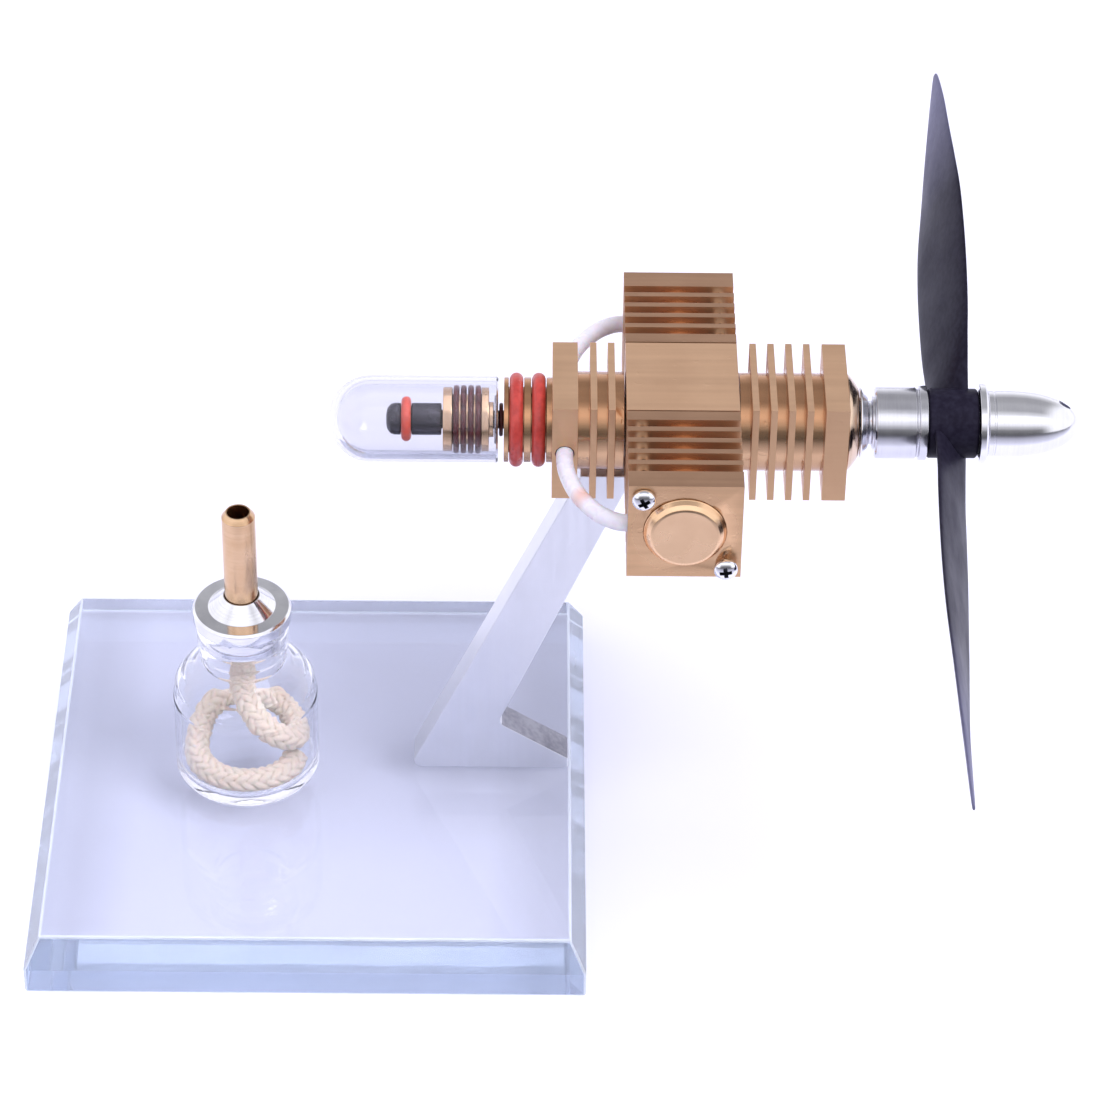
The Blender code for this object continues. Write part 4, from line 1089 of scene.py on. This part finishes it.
def wick_mesh(path, length):
    """Braided cord along the path; a "valley" attribute keeps the braid's height for the painted shade in
    its valleys.
    """
    sides = 56
    bm = bmesh.new()
    uv_of, valley_of = {}, {}
    rings = []
    for index, (point, side, other) in enumerate(frames_along(path)):
        along = length * index / (len(path) - 1)
        end = min(index, len(path) - 1 - index)
        pinch = min(1.0, PINCH_END + (1 - PINCH_END) * end / PINCH_RINGS)
        ring = []
        for i in range(sides):
            a = 2 * math.pi * i / sides
            height = braid_height(a, along)
            size = (BRAID_CORE + BRAID_DEPTH * (height - BRAID_BASE)) * pinch
            vert = bm.verts.new(point + (side * math.cos(a) + other * math.sin(a)) * size)
            uv_of[vert] = (i / sides, along / length)
            valley_of[vert] = height
            ring.append(vert)
        rings.append(ring)
    uv_layer = bm.loops.layers.uv.new("UVMap")
    for index, face in enumerate(skin(bm, rings), 1):
        closes_ring = index % sides == 0
        for corner in face.loops:
            u, v = uv_of[corner.vert]
            corner[uv_layer].uv = (1.0 if closes_ring and u == 0 else u, v * FIBRE_REPEATS)
    for ring in (rings[0], rings[-1]):
        bm.faces.new(ring)
    bmesh.ops.recalc_face_normals(bm, faces=bm.faces)
    bm.verts.index_update()
    heights = [0.0] * len(bm.verts)
    for vert, height in valley_of.items():
        heights[vert.index] = height
    mesh = mesh_of(bm, "wick_braid")
    mesh.attributes.new("valley", "FLOAT", "POINT").data.foreach_set("value", heights)
    mesh.shade_smooth()
    return mesh


def make_wick(mat, under):
    """Braided wick, coiled on the bottle's floor; under is the middle of the bottle's underside."""
    route = [tuple(under + Vector(point) * MM) for point in WICK_ROUTE]
    path, length = smooth_path(route, BRAID_SPACING)
    piece = add_piece("wick_braid", wick_mesh(path, length), mat["cotton"], "wick")


def make_bottle(mat, under):
    """Bottle with a beaded lip and a ringed neck; the result is its height."""
    _, tall, radius = extent("lamp_bottle", 2, under)
    wall = radius - 1.0 * MM
    lip, ring, neck = 8.4 * MM, 8.2 * MM, 7.6 * MM
    mouth = 6.8 * MM
    outer = [(mouth, tall), (8.1 * MM, tall), (lip, tall - 0.7 * MM), (lip, tall - 3.1 * MM),
             (7.9 * MM, tall - 3.7 * MM), (ring, tall - 4.3 * MM), (ring, tall - 6.1 * MM),
             (neck, tall - 6.9 * MM), (neck, tall - 8.9 * MM), (8.8 * MM, tall - 10.4 * MM),
             (11.2 * MM, tall - 12.1 * MM), (12.7 * MM, tall - 14.3 * MM), (radius, tall - 17.3 * MM),
             (radius, 1.4 * MM), (radius - 0.4 * MM, 0.35 * MM), (radius - 1.4 * MM, 0),
             (3.0 * MM, 0), (0, 0.25 * MM)]
    inner = [(0, 1.4 * MM), (radius - 2.8 * MM, 1.2 * MM), (radius - 1.4 * MM, 2.6 * MM),
             (wall, 4.0 * MM), (wall, tall - 17.5 * MM), (11.7 * MM, tall - 14.9 * MM),
             (10.5 * MM, tall - 13.0 * MM), (8.6 * MM, tall - 11.5 * MM), (mouth, tall - 9.7 * MM)]
    profile = filleted(outer, 1.6 * MM, False, 6) + filleted(inner, 1.6 * MM, False, 6)
    bottle = add_turned("lamp_bottle", profile, mat["bottle"], Matrix.Translation(under), steps=128)
    bottle.visible_shadow = False
    return tall


def make_burner(mat, under, bottle_top):
    """Aluminium collar that sits on the bottle, with a groove in its plug, and the wick's tube."""
    upright = Matrix.Translation(under)
    bottom, top, radius = extent("lamp_collar", 2, under)
    ring_top = top - 2.6 * MM
    seat = bottle_top + 0.3 * MM
    bore, plug = 3.15 * MM, 6.5 * MM
    collar = [(bore, top), (3.3 * MM, top), (6.1 * MM, ring_top), (radius - 0.45 * MM, ring_top),
              (radius, ring_top - 0.45 * MM), (radius, seat + 0.25 * MM), (radius - 0.25 * MM, seat),
              (plug, seat), (plug, seat - 1.4 * MM), (plug - 0.3 * MM, seat - 1.6 * MM),
              (plug, seat - 1.8 * MM), (plug, bottom + 0.6 * MM), (5.6 * MM, bottom), (bore, bottom)]
    add_turned("lamp_collar", collar, mat["silver_z"], upright, 0.18 * MM, steps=112)

    bottom, top, radius = extent("wick_tube", 2, under)
    bore = 2.0 * MM
    tube = [(bore, top), (bore + 0.22 * MM, top), (radius, top - 1.05 * MM), (radius, bottom),
            (bore, bottom)]
    add_turned("wick_tube", tube, mat["turned_z"], upright, 0.08 * MM, steps=72)


def make_lamp(mat):
    """Spirit lamp: bottle, burner and wick, all on the bottle's own upright line."""
    low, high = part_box("lamp_bottle")
    under = Vector(((low.x + high.x) / 2, (low.y + high.y) / 2, low.z))
    make_burner(mat, under, make_bottle(mat, under))
    make_wick(mat, under)


# --- inside the engine ---

def make_inner_parts(mat):
    """Crank train and bearings, seen only when the engine is opened."""
    looks = {"crankshaft": "steel", "inner_ball_race": "steel", "nose_ball_race": "steel",
             "left_main_bush": "bronze", "spindle_gland": "bronze"}
    for side in ("front", "back"):
        looks[f"eccentric_bush_{side}"] = "bronze"
        looks[f"piston_{side}"] = "graphite"
        looks[f"wrist_pin_{side}"] = "steel"
        looks[f"connecting_rod_{side}"] = "satin"
    for node, look in looks.items():
        refined(node, mat[look], INNER_EDGE)


def main():
    """Camera, stage and every piece."""
    make_camera()
    make_stage()
    mat = make_materials()
    make_bodies(mat)
    make_heads(mat)
    make_nose(mat)
    make_screws(mat)
    make_adapter(mat)
    make_spinner(mat)
    make_propeller(mat)
    make_glass_tube(mat)
    make_displacer(mat)
    make_tubes(mat)
    make_lamp(mat)
    make_inner_parts(mat)


main()
